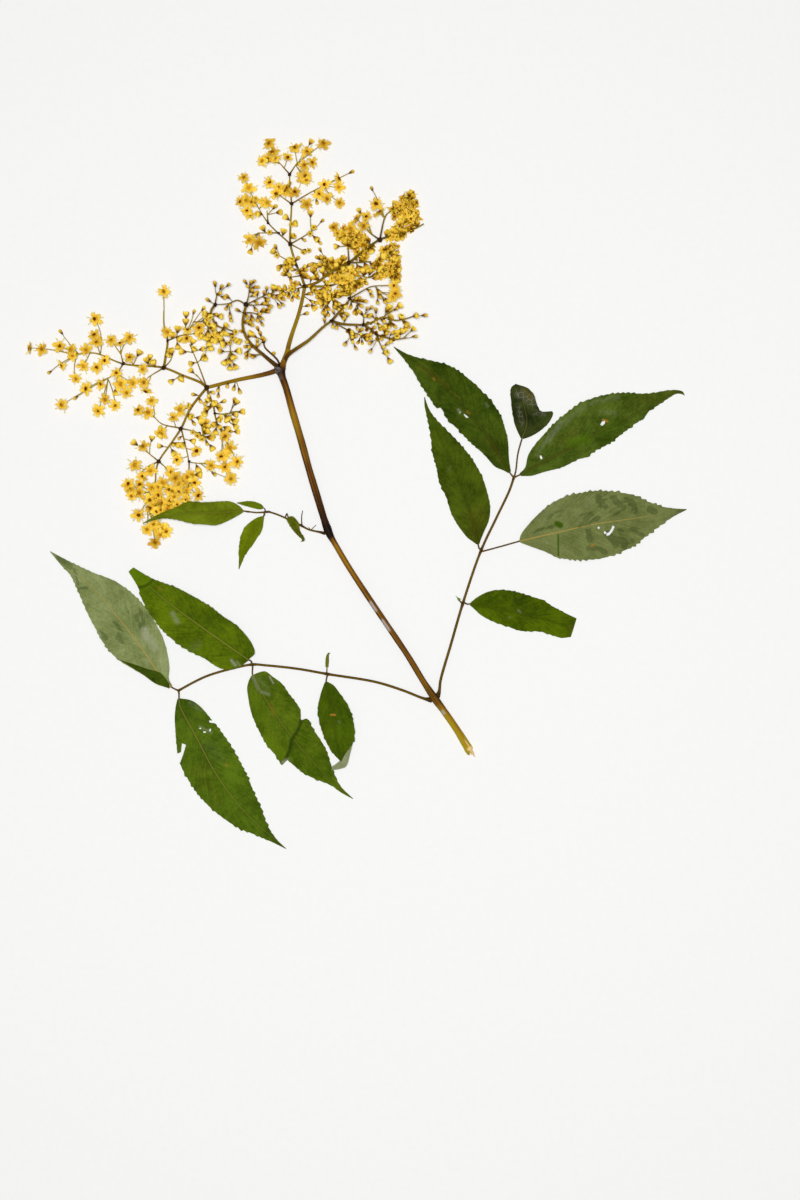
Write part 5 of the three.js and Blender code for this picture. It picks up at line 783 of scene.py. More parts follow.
def into_scene(name, data):
    """A new object for some data, linked into the scene."""
    made = bpy.data.objects.new(name, data)
    bpy.context.scene.collection.objects.link(made)
    return made


def make_piece(name, skin, finish, node):
    """Puts a skin into a mesh, in metres, hangs it from the root body, and hides the frame part that it
    stands for.
    """
    mesh = bpy.data.meshes.new(name)
    sizes = np.concatenate([np.full(len(face), face.shape[1]) for face in skin.faces])
    corners = np.concatenate([face.ravel() for face in skin.faces])
    mesh.vertices.add(len(skin.points))
    mesh.vertices.foreach_set("co", (skin.points * MM).astype(np.float32).ravel())
    mesh.loops.add(len(corners))
    mesh.loops.foreach_set("vertex_index", corners.astype(np.int32))
    mesh.polygons.add(len(sizes))
    mesh.polygons.foreach_set("loop_start", (np.cumsum(sizes) - sizes).astype(np.int32))
    mesh.update(calc_edges=True)
    for mark, values in skin.marks.items():
        mesh.attributes.new(mark, "FLOAT", "POINT").data.foreach_set("value", values.astype(np.float32))
    mesh.polygons.foreach_set("use_smooth", np.ones(len(sizes), bool))
    mesh.set_sharp_from_angle(angle=SHARP_ANGLE)
    mesh.materials.append(finish)
    piece = into_scene(name, mesh)
    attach(piece, "root")
    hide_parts(node)


# ---- finishes ----
def tint(shade):
    """A colour as a screen shows it, 0 to 255, turned into the linear one that a shader takes."""
    shares = np.array(shade) / 255
    linear = np.where(shares <= 0.04045, shares / 12.92, ((shares + 0.055) / 1.055) ** 2.4)
    return (*(float(v) for v in linear), 1.0)


class Value:
    """A number that changes over a surface. Sums and products of such numbers add Math nodes."""

    def __init__(self, finish, socket):
        self.finish, self.socket = finish, socket

    def math(self, operation, *numbers):
        inputs = dict(enumerate(numbers))
        return Value(self.finish, self.finish.node("ShaderNodeMath", inputs, operation=operation).outputs[0])

    def __add__(self, other):
        return self.math("ADD", self, other)

    def __sub__(self, other):
        return self.math("SUBTRACT", self, other)

    def __rsub__(self, other):
        return self.math("SUBTRACT", other, self)

    def __mul__(self, other):
        return self.math("MULTIPLY", self, other)

    __radd__, __rmul__ = __add__, __mul__

    def size(self):
        return self.math("ABSOLUTE", self)

    def held(self):
        """Kept between 0 and 1."""
        return self.math("MINIMUM", self.math("MAXIMUM", self, 0.0), 1.0)

    def fraction(self):
        return self.math("FRACT", self)

    def step(self, low, high):
        """0 below low and 1 above high, with a smooth rise between."""
        inputs = {"Value": self, "From Min": low, "From Max": high}
        node = self.finish.node("ShaderNodeMapRange", inputs, interpolation_type="SMOOTHSTEP")
        return Value(self.finish, node.outputs[0])


class Finish:
    """A material of nodes that end in one Principled shader."""

    def __init__(self, name, specular, coat=0.0):
        self.material = bpy.data.materials.new(name)
        self.material.use_nodes = True
        self.tree = self.material.node_tree
        self.shader = self.tree.nodes["Principled BSDF"]
        self.shader.inputs["Specular IOR Level"].default_value = specular
        self.shader.inputs["Coat Weight"].default_value = coat
        self.shader.inputs["Coat Roughness"].default_value = 0.35
        self.place = self.node("ShaderNodeTexCoord").outputs["Object"]

    def node(self, kind, inputs=None, **settings):
        made = self.tree.nodes.new(kind)
        for name, setting in settings.items():
            setattr(made, name, setting)
        for name, value in (inputs or {}).items():
            self.feed(made.inputs[name], value)
        return made

    def feed(self, socket, value):
        """Links a socket or a Value, or sets a number or a colour. A triple is a colour for tint()."""
        if isinstance(value, Value):
            value = value.socket
        if isinstance(value, bpy.types.NodeSocket):
            self.tree.links.new(value, socket)
        elif isinstance(value, tuple) and len(value) == 3:
            socket.default_value = tint(value)
        else:
            socket.default_value = value

    def mark(self, name):
        """A mark from the skin's points."""
        return Value(self, self.node("ShaderNodeAttribute", attribute_name=name).outputs["Fac"])

    def vector(self, x, y, z):
        return self.node("ShaderNodeCombineXYZ", {0: x, 1: y, 2: z}).outputs[0]

    def noise(self, scale, detail=3.0, where=None):
        """Clouds round 0.5. The scale is how many there are in a metre, or in one step of `where`."""
        inputs = {"Vector": where or self.place, "Scale": scale, "Detail": detail}
        return Value(self, self.node("ShaderNodeTexNoise", inputs).outputs[0])

    def cells(self, scale):
        """How far a place is from the border between two cells of an uneven net."""
        inputs = {"Vector": self.place, "Scale": scale}
        node = self.node("ShaderNodeTexVoronoi", inputs, feature="DISTANCE_TO_EDGE")
        return Value(self, node.outputs["Distance"])

    def tiles(self, scale, where):
        """A drawn shade, mostly 0.2 to 0.8, for each cell of an uneven net."""
        inputs = {"Vector": where, "Scale": scale}
        return Value(self, self.node("ShaderNodeTexVoronoi", inputs).outputs["Color"])

    def mix(self, share, one, other, blend="MIX"):
        """One colour turning into another as the share goes from 0 to 1."""
        node = self.node("ShaderNodeMix", {0: share, 6: one, 7: other}, data_type="RGBA", blend_type=blend)
        return node.outputs[2]

    def done(self, colour, roughness, height, depth):
        """Feeds the shader. The height, 0 to 1, stands for a relief of `depth` millimetres."""
        self.feed(self.shader.inputs["Base Color"], colour)
        self.feed(self.shader.inputs["Roughness"], roughness)
        bump = self.node("ShaderNodeBump", {"Strength": 0.6, "Distance": depth * MM, "Height": height})
        self.feed(self.shader.inputs["Normal"], bump.outputs[0])
        return self.material


# ---- the finishes of this sprig ----
# A blade's own green: where it is deep and where it is bright, its midrib, how plainly that shows,
# and the green of its fresher marks.
GREENS = {
    "left_leaflet_1": ((42, 60, 4), (74, 92, 10), (110, 104, 34), 0.4, (62, 88, 6)),
    "left_leaflet_2": ((55, 74, 0), (100, 121, 8), (127, 125, 52), 0.8, (93, 129, 0)),
    "left_leaflet_3": ((47, 68, 2), (89, 113, 20), (117, 113, 48), 0.9, (93, 119, 10)),
    "left_leaflet_4": ((51, 72, 0), (93, 113, 18), (108, 105, 40), 0.7, (98, 121, 10)),
    "left_leaflet_5": ((42, 60, 0), (78, 99, 6), (78, 86, 16), 0.3, (92, 114, 10)),
    "left_leaflet_6": ((80, 86, 4), (118, 122, 30), (126, 112, 44), 0.5, (106, 126, 12)),
    "right_leaflet_1": ((26, 34, 6), (67, 77, 30), (89, 86, 40), 0.8, (57, 79, 20)),
    "right_leaflet_2": ((36, 53, 0), (76, 94, 18), (83, 72, 24), 0.5, (79, 101, 14)),
    "right_leaflet_3": ((42, 60, 2), (89, 107, 32), (87, 76, 26), 0.6, (72, 105, 0)),
    "right_leaflet_4": ((43, 57, 0), (79, 96, 14), (74, 74, 18), 0.3, (85, 105, 20)),
    "right_leaflet_5": ((44, 62, 4), (78, 98, 12), (104, 90, 34), 0.4, (58, 82, 4)),
    "right_leaflet_6": ((43, 60, 0), (85, 105, 2), (81, 90, 10), 0.3, (94, 117, 4)),
    "small_leaflet_1": ((76, 88, 2), (113, 127, 22), (112, 113, 34), 0.5, (117, 133, 26)),
    "small_leaflet_2": ((72, 90, 0), (110, 129, 14), (117, 119, 34), 0.5, (117, 133, 26)),
    "small_leaflet_3": ((84, 98, 0), (122, 136, 14), (112, 113, 28), 0.5, (117, 133, 26)),
    "small_leaflet_4": ((57, 62, 0), (112, 123, 22), (108, 101, 28), 0.5, (113, 129, 22)),
}
UNDERSIDES = {
    "left_leaflet_1": ((102, 114, 60), (146, 156, 102)),
    "right_leaflet_5": ((88, 98, 48), (124, 132, 78)),
}
PALE_UNDERSIDE = ((118, 126, 88), (146, 152, 116))
UNDERSIDE_RIB = (164, 142, 72)
UNDERSIDE_VEIN = (136, 138, 84)
# SHEEN and SHEENS are a painted sheen: pale glare laid on a blade where it is marked pale.
SHEEN = (150, 152, 128)
SHEENS = {"right_leaflet_1": (112, 108, 92), "left_leaflet_1": (156, 160, 128)}
FAINT_SHEEN = 0.7  # strength of a pale mark on the other leaflets
WEBBED = "right_leaflet_1"  # its pale marks are a web of threads
# On a top face a dark mark is painted shade; on an underside the dark marks are the blade's own blotches.
TOP_SHADOW = (0.36, 0.42, 0.4, 1)  # what a dark mark multiplies a green by
UNDER_SHADOW = (0.63, 0.67, 0.62, 1)  # and a pale underside
RUST = (158, 112, 40)
LEAF_STALK = (108, 82, 30)
LEAF_STALK_DARK = tuple(0.62 * shade for shade in LEAF_STALK)
MARKS = ("fresh", "dark", "pale", "rust")
# A dried stalk's patches: olive ones, pale ones that are partly worn and partly a painted sheen, straw at a
# cut, green, and a web of threads.
OLIVE_FLUSH, WEAR_AND_SHEEN, STRAW, SCRAP_GREEN = (170, 152, 16), (176, 162, 152), (240, 208, 140), (92, 122, 14)
WEB_GROUND, WEB_THREAD = (84, 70, 68), (156, 144, 140)
# The flowers: the yellowest and the brownest of them, near the heart and at the rim, and their parts.
PETAL_MIDDLE, PETAL_RIM = ((255, 200, 52), (140, 96, 6)), ((255, 224, 92), (190, 136, 24))
# ANTHER_AND_HIGHLIGHT is the anthers' colour, also laid on as a painted highlight at the tips of buds and the
# mouths of half-open flowers.
PETAL_GRAIN, FOOT, ANTHER_AND_HIGHLIGHT, HEART = (224, 136, 0), (92, 54, 2), (255, 230, 66), (86, 42, 6)


def leaf_finish(name):
    """A pressed leaflet: greens that cloud and streak along its side veins, a midrib, blotches where it
    is marked, a paler underside, and a net of fine veins in relief. Where a top face is marked dark the
    blotch is painted shade, and where a blade is marked pale it is a painted sheen."""
    deep, bright, rib, rib_share, fresh = GREENS[name]
    under_deep, under_bright = UNDERSIDES.get(name, PALE_UNDERSIDE)
    f = Finish(name + "_blade", specular=0.02)
    run, off_rib, phase = f.mark("run"), f.mark("off_rib"), f.mark("phase")
    clouds = f.noise(75)
    patches = f.noise(230)
    grain = f.noise(760, detail=4)
    speckle = f.noise(2300, detail=2)
    streaks = f.noise(1, where=f.vector(phase * 4.2, off_rib * 0.16, run * 1.5))
    threads = f.noise(1, detail=2, where=f.vector(phase * 13, off_rib * 0.3, run * 3))
    side_vein = 1 - ((phase.fraction() - 0.5).size() * VEIN_PITCH).step(0.08, 0.34)
    midrib = 1 - (off_rib.size() + run * 0.22).step(0.14, 0.4)
    midrib_edge = 1 - (off_rib.size() + run * 0.2).step(0.4, 1.1)
    net = 1 - f.cells(820).step(0.02, 0.2)

    mottle = clouds * 0.72 + patches * 0.48 + streaks * 0.17 + grain * 0.4 + threads * 0.5 + speckle * 0.38
    lightness = mottle.step(1.0, 1.65)
    top = f.mix(lightness, deep, bright)
    top = f.mix(side_vein * 0.22 * clouds, top, rib)
    top = f.mix(midrib_edge * 0.35, top, deep)
    top = f.mix(midrib * rib_share, top, rib)
    below = f.mix(lightness, under_deep, under_bright)
    below = f.mix(net * 0.15, below, under_deep)
    below = f.mix(side_vein * 0.35, below, UNDERSIDE_VEIN)
    below = f.mix(midrib * (1 - run.step(0.72, 0.9)) * 0.85, below, UNDERSIDE_RIB)
    colour = f.mix(f.mark("below"), top, below)

    ragged = (grain * 0.9 + threads * 1.3 + speckle * 0.5 - 0.45).held()
    fresher, darker, painted_sheen, rusty = (f.mark(kind) * f.mark(kind) for kind in MARKS)
    shadow = TOP_SHADOW
    if name in UNDERSIDES:
        blocks = f.tiles(1, f.vector(phase * 1.8, off_rib * 0.55, run * 2))
        darker = (f.mark("dark") + (blocks - 0.5) * 0.9 + (grain - 0.5) * 0.3).step(0.46, 0.6)
        shadow = UNDER_SHADOW
    # On right_leaflet_1 the painted sheen is broken into a web of fine threads.
    if name == WEBBED:
        painted_sheen = painted_sheen * ((1 - f.cells(560).step(0.01, 0.1)) * 1.7 + 0.3)
    painted_sheen = painted_sheen * ragged * (1 if name in SHEENS else FAINT_SHEEN)
    colour = f.mix((fresher * (ragged + 0.35)).held(), colour, fresh)
    # Painted shade where a top face is marked dark; on an underside these are the blade's own blotches.
    colour = f.mix(darker.held(), colour, shadow, "MULTIPLY")
    # Painted sheen: pale glare where the blade is marked pale.
    colour = f.mix(painted_sheen.held(), colour, SHEENS.get(name, SHEEN))
    colour = f.mix((rusty * (ragged + 0.3)).held(), colour, RUST)
    colour = f.mix(f.mark("wood"), colour, f.mix(grain, LEAF_STALK_DARK, LEAF_STALK))
    height = midrib * 0.5 + side_vein * 0.3 + net * 0.22 + grain * 0.4 + threads * 0.25
    return f.done(colour, 0.5 + grain * 0.24, height, depth=0.16)


def bark_finish(name, dark, warm, gold, knot, coat=0.0):
    """A dried stalk: brown with lengthwise fibres, golden where its gold mark is high, dark joints, and the
    patches that its marks call for. On the stem and the leaf stalks the gold mark also holds painted shade
    on the flanks, and on the leaf stalks a painted highlight along the top."""
    f = Finish(name, specular=0.05, coat=coat)
    around = f.vector(f.mark("flank") * 3.4, f.mark("crown") * 3.4, f.mark("run") * 0.018)
    fibres = f.noise(1.6, detail=4, where=around)
    strands = f.noise(5, where=around)
    clouds = f.noise(130)
    grain = f.noise(1500)
    # The gold mark holds painted shade on the flanks of the stem and leaf stalks and a painted highlight
    # along the top of the leaf stalks.
    flush = f.mark("gold") + (fibres - 0.5) * 1.1 + (strands - 0.5) * 0.7 + (clouds - 0.5) * 0.6
    colour = f.mix(flush.step(0.0, 0.55), dark, warm)
    colour = f.mix(flush.step(0.4, 1.05), colour, gold)
    colour = f.mix((f.mark("olive") * (fibres * 0.6 + 0.6)).held(), colour, OLIVE_FLUSH)
    # Pale patches, partly wear and partly a painted sheen.
    colour = f.mix((f.mark("sheen") * (strands * 2.4 - 0.3)).held(), colour, WEAR_AND_SHEEN)
    colour = f.mix((f.mark("straw") * (strands + 0.5)).held(), colour, STRAW)
    colour = f.mix((f.mark("knot") * (grain * 0.5 + 0.72)).held(), colour, knot)
    colour = f.mix(f.mark("green"), colour, SCRAP_GREEN)
    web = 1 - f.cells(900).step(0.03, 0.16)
    colour = f.mix(f.mark("web") * 0.7, colour, WEB_GROUND)
    colour = f.mix((f.mark("web") * web * (grain * 2 - 0.6)).held(), colour, WEB_THREAD)
    return f.done(colour, 0.46 + grain * 0.22, strands * 0.8 + grain * 0.15, depth=0.12)


def flower_finish(name):
    """Pressed flowers: golden petals with a paler rim, each flower of its own tone, a brown heart, pale
    anthers, a pale painted highlight at the tips of buds and the mouths of half-open flowers, and buds
    brown at the foot."""
    f = Finish(name, specular=0.02)
    tone = f.mark("tone")
    grain = f.noise(1900)
    clouds = f.noise(330, detail=2)
    outward = (f.mark("reach") + (clouds - 0.5) * 0.5).step(0.34, 0.8)
    colour = f.mix(outward, f.mix(tone, *PETAL_MIDDLE), f.mix(tone, *PETAL_RIM))
    colour = f.mix((grain - 0.47).step(0.0, 0.2) * 0.5, colour, PETAL_GRAIN)
    colour = f.mix(f.mark("foot"), colour, FOOT)
    # Anthers, and a painted highlight at the tips of buds and the mouths of half-open flowers.
    colour = f.mix(f.mark("anther"), colour, ANTHER_AND_HIGHLIGHT)
    colour = f.mix((f.mark("heart") * (grain * 0.7 + 0.8)).held(), colour, HEART)
    return f.done(colour, 0.6 + grain * 0.2, grain, depth=0.12)


# ---- stem and leaf stalks ----
# The stem on its way down: how far up (Y), and how golden, knotted and olive it is there.
STEM_TONES = [
  [48, 0.1, 1, 0], [44.8, 0.2, 0.7, 0], [42, 0.3, 0.1, 0], [38, 0.4, 0, 0], [30, 0.85, 0, 0.15],
  [26, 0.8, 0, 0.3], [18, 0.5, 0, 0.1], [12, 0.45, 0, 0], [4, 0.3, 0, 0], [-5, 0.05, 0.1, 0],
  [-10.6, -0.05, 0.4, 0], [-12.2, 0, 1, 0], [-16.2, 0, 1, 0], [-17.2, 0.5, 0.1, 0], [-20, 0.95, 0, 0],
  [-28, 0.75, 0, 0], [-38, 0.55, 0, 0], [-62, 0.5, 0, 0], [-72, 0.6, 0, 0.1], [-75.6, 0.5, 0.1, 0.1],
  [-78.6, 0.5, 0.1, 0.1], [-80.6, 0.65, 0, 0.4], [-85, 0.95, 0, 0.85], [-100, 1.15, 0, 1],
]
# Places on the stem that are pale, partly worn and partly a painted sheen: how far up, how far that reaches,
# and how pale.
WEAR_AND_SHEEN_PATCHES = [(-42.2, 2.4, 1), (-49.2, 2.7, 1), (-81.8, 1, 0.7), (44, 1.6, 0.25)]
CUT_BAND = (94.9, 96)  # how far down the stem's straw-coloured cut begins and is full
SPLIT_BAND = (91.5, 93.5)  # and the pale split that runs up from it
LIME_BAND = (88, 92)  # below this the right flank is olive too
CUT_END = (42, -95.4)
CUT_HEADING = (0.55, -0.84)
SPLINTERS = 64
HEAD = (-28.8, 46.2)  # middle of the swollen place that the rays grow from
HEAD_POLE = (-28.7, 46.2)  # its highest and its lowest point
HEAD_RADII = (2.25, 1.75, 1.45)
TRUNK = [[-27.9, 46.2], [-27.2, 48.8], [-26.3, 51.2], [-25.3, 54]]
TRUNK_HALF = (1.45, 0.95)  # half its width at the head and at the fork
# Where each leaf stalk runs into the stem, half its width there, and where its leaflets leave.
RACHIS_FOOT = {"left": (28.4, -77.5, 1.0), "right": (30.4, -76.4, 1.0), "small": (-11.6, -15.0, 0.6)}
RACHIS_JOINTS = {
    "left": [(-66.8, -74.2), (-38.8, -64.4), (-10.8, -67.8)],
    "right": [(59.2, 6.2), (46.8, -21.4), (39.9, -41.5)],
    "small": [(-33.4, -6.8), (-20.4, -12.2)],
}
SCRAP_ROOT = (38.9, -40.0)


def stem_piece():
    """The stem: a fluted tube whose half-width follows its stations and whose height is even. How golden,
    knotted and olive it is follows STEM_TONES. Its flanks are darker than its middle, a painted shade; it
    is pale in places, partly worn and partly a painted sheen on its top; and its cut end is straw, with a
    split that runs up from there."""
    rng = np.random.default_rng(SEED)
    stations = np.array(STEM)
    shares = np.linspace(0, 1, 420)
    path = places_along(curve_through(stations[:, :2], 8), shares)
    x, y = path.T
    run = arc(stations[:, :2])
    width = np.interp(arc(path) / arc(path)[-1] * run[-1], run, stations[:, 2])
    half = width / 2 * (1 + 0.02 * swell(x, y, rng, 9))
    level, golden, knotted, olive = np.array(STEM_TONES)[::-1].T
    wear_and_sheen = sum(share * (1 - smooth(abs(y - at), 0.55 * reach, reach)) for at, reach, share in WEAR_AND_SHEEN_PATCHES)
    skin = tube(
        at_height(path, STEM_MIDDLE), half, 40, STEM_MIDDLE * smooth(shares, -0.02, 0.012),
        flutes=(9, 0.028), knot=np.interp(y, level, knotted), gold=np.interp(y, level, golden),
        olive=np.interp(y, level, olive), sheen=wear_and_sheen, straw=smooth(-y, *CUT_BAND),
    )
    marks, down = skin.marks, -skin.points[:, 1]
    flank, crown = marks["flank"], marks["crown"]
    lengthwise = np.sin(7 * flank + 0.09 * marks["run"])
    # Painted shade: the gold mark falls off towards both flanks, so the stem darkens where it rounds away.
    marks["gold"] = marks["gold"] - 0.5 * smooth(abs(flank), 0.45, 0.95) + 0.16 * lengthwise
    lime = smooth(-flank, -0.1, 0.75) + smooth(flank, 0.35, 0.9) * smooth(down, *LIME_BAND)
    marks["olive"] = marks["olive"] * (0.3 + 0.8 * lime)
    split = 0.95 * hump(flank - 0.38, 0.13) * smooth(down, *SPLIT_BAND) * smooth(crown, 0, 0.4)
    marks["straw"] = np.maximum(marks["straw"] * smooth(flank, -0.7, -0.1), split)
    # The painted sheen shows only on the top of the stem, towards one flank.
    marks["sheen"] = marks["sheen"] * smooth(-flank, -0.3, 0.1) * smooth(crown, 0.2, 0.7)
    return together([skin, splinters(rng), head_boss(), shared_trunk()])


def splinters(rng):
    """The frayed lower cut: slim tapering strands that run on past the end of the stem, a little way on its
    left side and furthest near the middle."""
    ahead = unit(np.array([*CUT_HEADING, 0]))
    across = np.array([-ahead[1], ahead[0], 0])
    side = rng.uniform(-1.45, 1.45, SPLINTERS)
    level = rng.uniform(0.4, 2.2, SPLINTERS)
    start = at_height(CUT_END + side[:, None] * across[:2], level)
    reach = rng.uniform(0.7, 1.3, SPLINTERS) + 1.3 * smooth(-side, 0, 1)
    reach += 3.7 * hump(side - 0.35, 0.45) * rng.uniform(0.5, 1, SPLINTERS)
    far = reach[:, None] * ahead + rng.normal(0, 0.2, (SPLINTERS, 1)) * across
    steps = np.linspace(0, 1, 5)
    paths = start[:, None] + far[:, None] * steps[:, None]
    paths[..., 2] -= steps**2 * rng.uniform(0, 0.35, (SPLINTERS, 1))
    radii = rng.uniform(0.16, 0.3, (SPLINTERS, 1)) * [1, 0.95, 0.8, 0.5, 0.15]
    pale = smooth(side, -0.7, 0.1)[:, None]
    straw = rng.uniform(0.6, 1.15, (SPLINTERS, 1)) * pale
    return tubes(paths, radii, 5, straw=straw, gold=0.9, olive=1.1 - pale)


def shared_trunk():
    """The short flat trunk that the two right-hand rays share: wide at the head, two thirds as wide at the
    fork."""
    share = np.linspace(0, 1, 30)
    half = TRUNK_HALF[0] + (TRUNK_HALF[1] - TRUNK_HALF[0]) * smooth(share, 0, 0.5)
    return tube(
        at_height(even_path(TRUNK, 30), STEM_MIDDLE), half, 24, STEM_MIDDLE - 0.7 * smooth(share, 0.75, 1),
        flutes=(7, 0.03), knot=0.9 * (1 - smooth(share, 0, 0.3)), gold=0.45 + 0.35 * share,
        olive=0.25 * share,
    )


def head_boss():
    """The swollen place where the five rays leave the stem: a squashed ball with lumps, wider to the sides
    than along the stem, webbed with pale threads."""
    u, v = np.meshgrid(np.linspace(0, 1, 29), np.linspace(0, 1, 41), indexing="ij")
    polar, turn = math.pi * u, 2 * math.pi * v
    lumps = 0.96 + 0.05 * np.sin(3 * turn + 1) + 0.05 * np.sin(5 * turn + 2 * polar) + 0.03 * np.sin(9 * turn)
    x = HEAD[0] + HEAD_RADII[0] * lumps * np.sin(polar) * np.cos(turn)
    y = HEAD[1] + HEAD_RADII[1] * lumps * np.sin(polar) * np.sin(turn)
    z = STEM_MIDDLE + HEAD_RADII[2] * np.cos(polar) * (1 + 0.06 * np.sin(4 * turn) * np.sin(polar) ** 2)
    rings = np.stack([x, y, z], axis=-1)[1:-1, :-1]
    points = np.vstack([[*HEAD_POLE, z[-1, 0]], *rings[::-1], [*HEAD_POLE, z[0, 0]]])
    marks = {"knot": 0.95, "web": 1, "gold": 0.2, "flank": points[:, 0], "crown": points[:, 1]}
    return Skin(points, fan_faces(*rings.shape[:2]), marks)


def rachis_piece(side):
    """A compound leaf's own stalk and the twigs whose leaflets are lost: tubes with four soft ridges,
    swollen a little where leaflets leave and flared at the stem, lighter along the top and darker on the
    flanks, a painted highlight and painted shade."""
    *foot, foot_half = RACHIS_FOOT[side]
    joints = np.array(RACHIS_JOINTS[side])
    skins = []
    for number, (radii, *places) in enumerate(RACHISES[side]):
        main = number == 0
        path = even_path([foot, *places] if main else places, 160 if main else 26)
        radius = np.linspace(*radii, len(path))
        swollen = hump(plan_gap(path, joints), 1.1)
        away = plan_gap(path, np.array([foot]))
        half = radius * (1 + 0.3 * swollen) + (foot_half - radii[0]) * hump(away, 1.9)
        skin = tube(
            at_height(path, RACHIS_HEIGHT), half, 20 if main else 8,
            np.minimum(radius * (1 + 0.12 * swollen), RACHIS_HEIGHT),
            flutes=(4, 0.05), knot=0.75 * swollen + 0.9 * hump(away, 2.6),
        )
        # Painted highlight and shade: the gold mark is highest along the top of each stalk and falls off
        # towards its flanks.
        skin.marks["gold"] = 0.2 + 0.5 * (1 - smooth(abs(skin.marks["flank"] - 0.1), 0.15, 0.8))
        skins.append(skin)
    if side == "right":
        skins.append(green_scrap())
    return together(skins)


def green_scrap():
    """What is left of a leaflet on the right leaf's lowest twig: a torn scrap with two points."""
    u, v = np.meshgrid(np.linspace(0, 1, 10), np.linspace(-1, 1, 7), indexing="ij")
    x = SCRAP_ROOT[0] - 1.5 * u + 0.5 * v * (1 - u)
    y = SCRAP_ROOT[1] + 1.5 * u * (1 - 0.35 * v) + 0.35 * v
    top = np.stack([x, y, 1.3 + 0.25 * np.sin(3 * u + v)], axis=-1)
    marks = {"green": np.ones(x.shape), "gold": np.full(x.shape, 0.9)}
    return sheet(top, SCRAP_THICKNESS, np.ones((9, 6), bool), marks)


# ---- leaflets ----
def blade_height(leaf, share, out, side):
    """Height of a blade's underside. It runs from the base's height to the tip's; the middle stands up
    by arch sin(pi s)(1 - t^2); and the edges rise and fall in two and a half waves."""
    low, high = leaf["heights"]
    run = low + (high - low) * smooth(share, 0, 0.5)
    crown = leaf["arch"] * np.sin(math.pi * share) * (1 - out**2)
    ripple = leaf["wave"] * out * (1 - np.cos(2 * math.pi * (2.5 * share + 0.3 * side))) / 2
    return run + crown + ripple * np.sin(math.pi * share)


def toothed(edge, side, shares, depth, rng):
    """How far an edge stands out in saw teeth that point forward: each rises evenly over most of its pitch
    and falls back over the rest. Their depth wanders, and there are none at the base and the tip."""
    outward = np.gradient(places_along(edge, shares), axis=0) @ np.array([[0, 1], [-1, 0]]) * side
    count = max(1, round(arc(edge)[-1] / TOOTH_PITCH))
    place = shares * count + 0.35 * np.sin(shares * 17 + rng.uniform(0, 6))
    q = place % 1
    tooth = np.where(q < TOOTH_LEAN, q / TOOTH_LEAN, (1 - q) / (1 - TOOTH_LEAN))
    sizes = rng.uniform(0.15, 1.6, count + 3)[np.floor(place).astype(int) + 1]
    grown = smooth(shares, 0.08, 0.4) * smooth(1 - shares, 0.03, 0.2)
    return unit(outward) * (depth * tooth * sizes * grown)[:, None]


def stroke_marks(leaf, x, y):
    """Every mark on a blade: full within a fifth of its radius from its line, and fading out over a little
    more than the radius."""
    marks = {kind: np.zeros(x.shape) for kind in MARKS}
    for kind in MARKS:
        for radius, strength, *places in leaf.get(kind, []):
            gap = nearest_on(x, y, places)[1]
            marks[kind] = np.maximum(marks[kind], strength * (1 - smooth(gap, 0.2 * radius, 1.35 * radius)))
    return marks


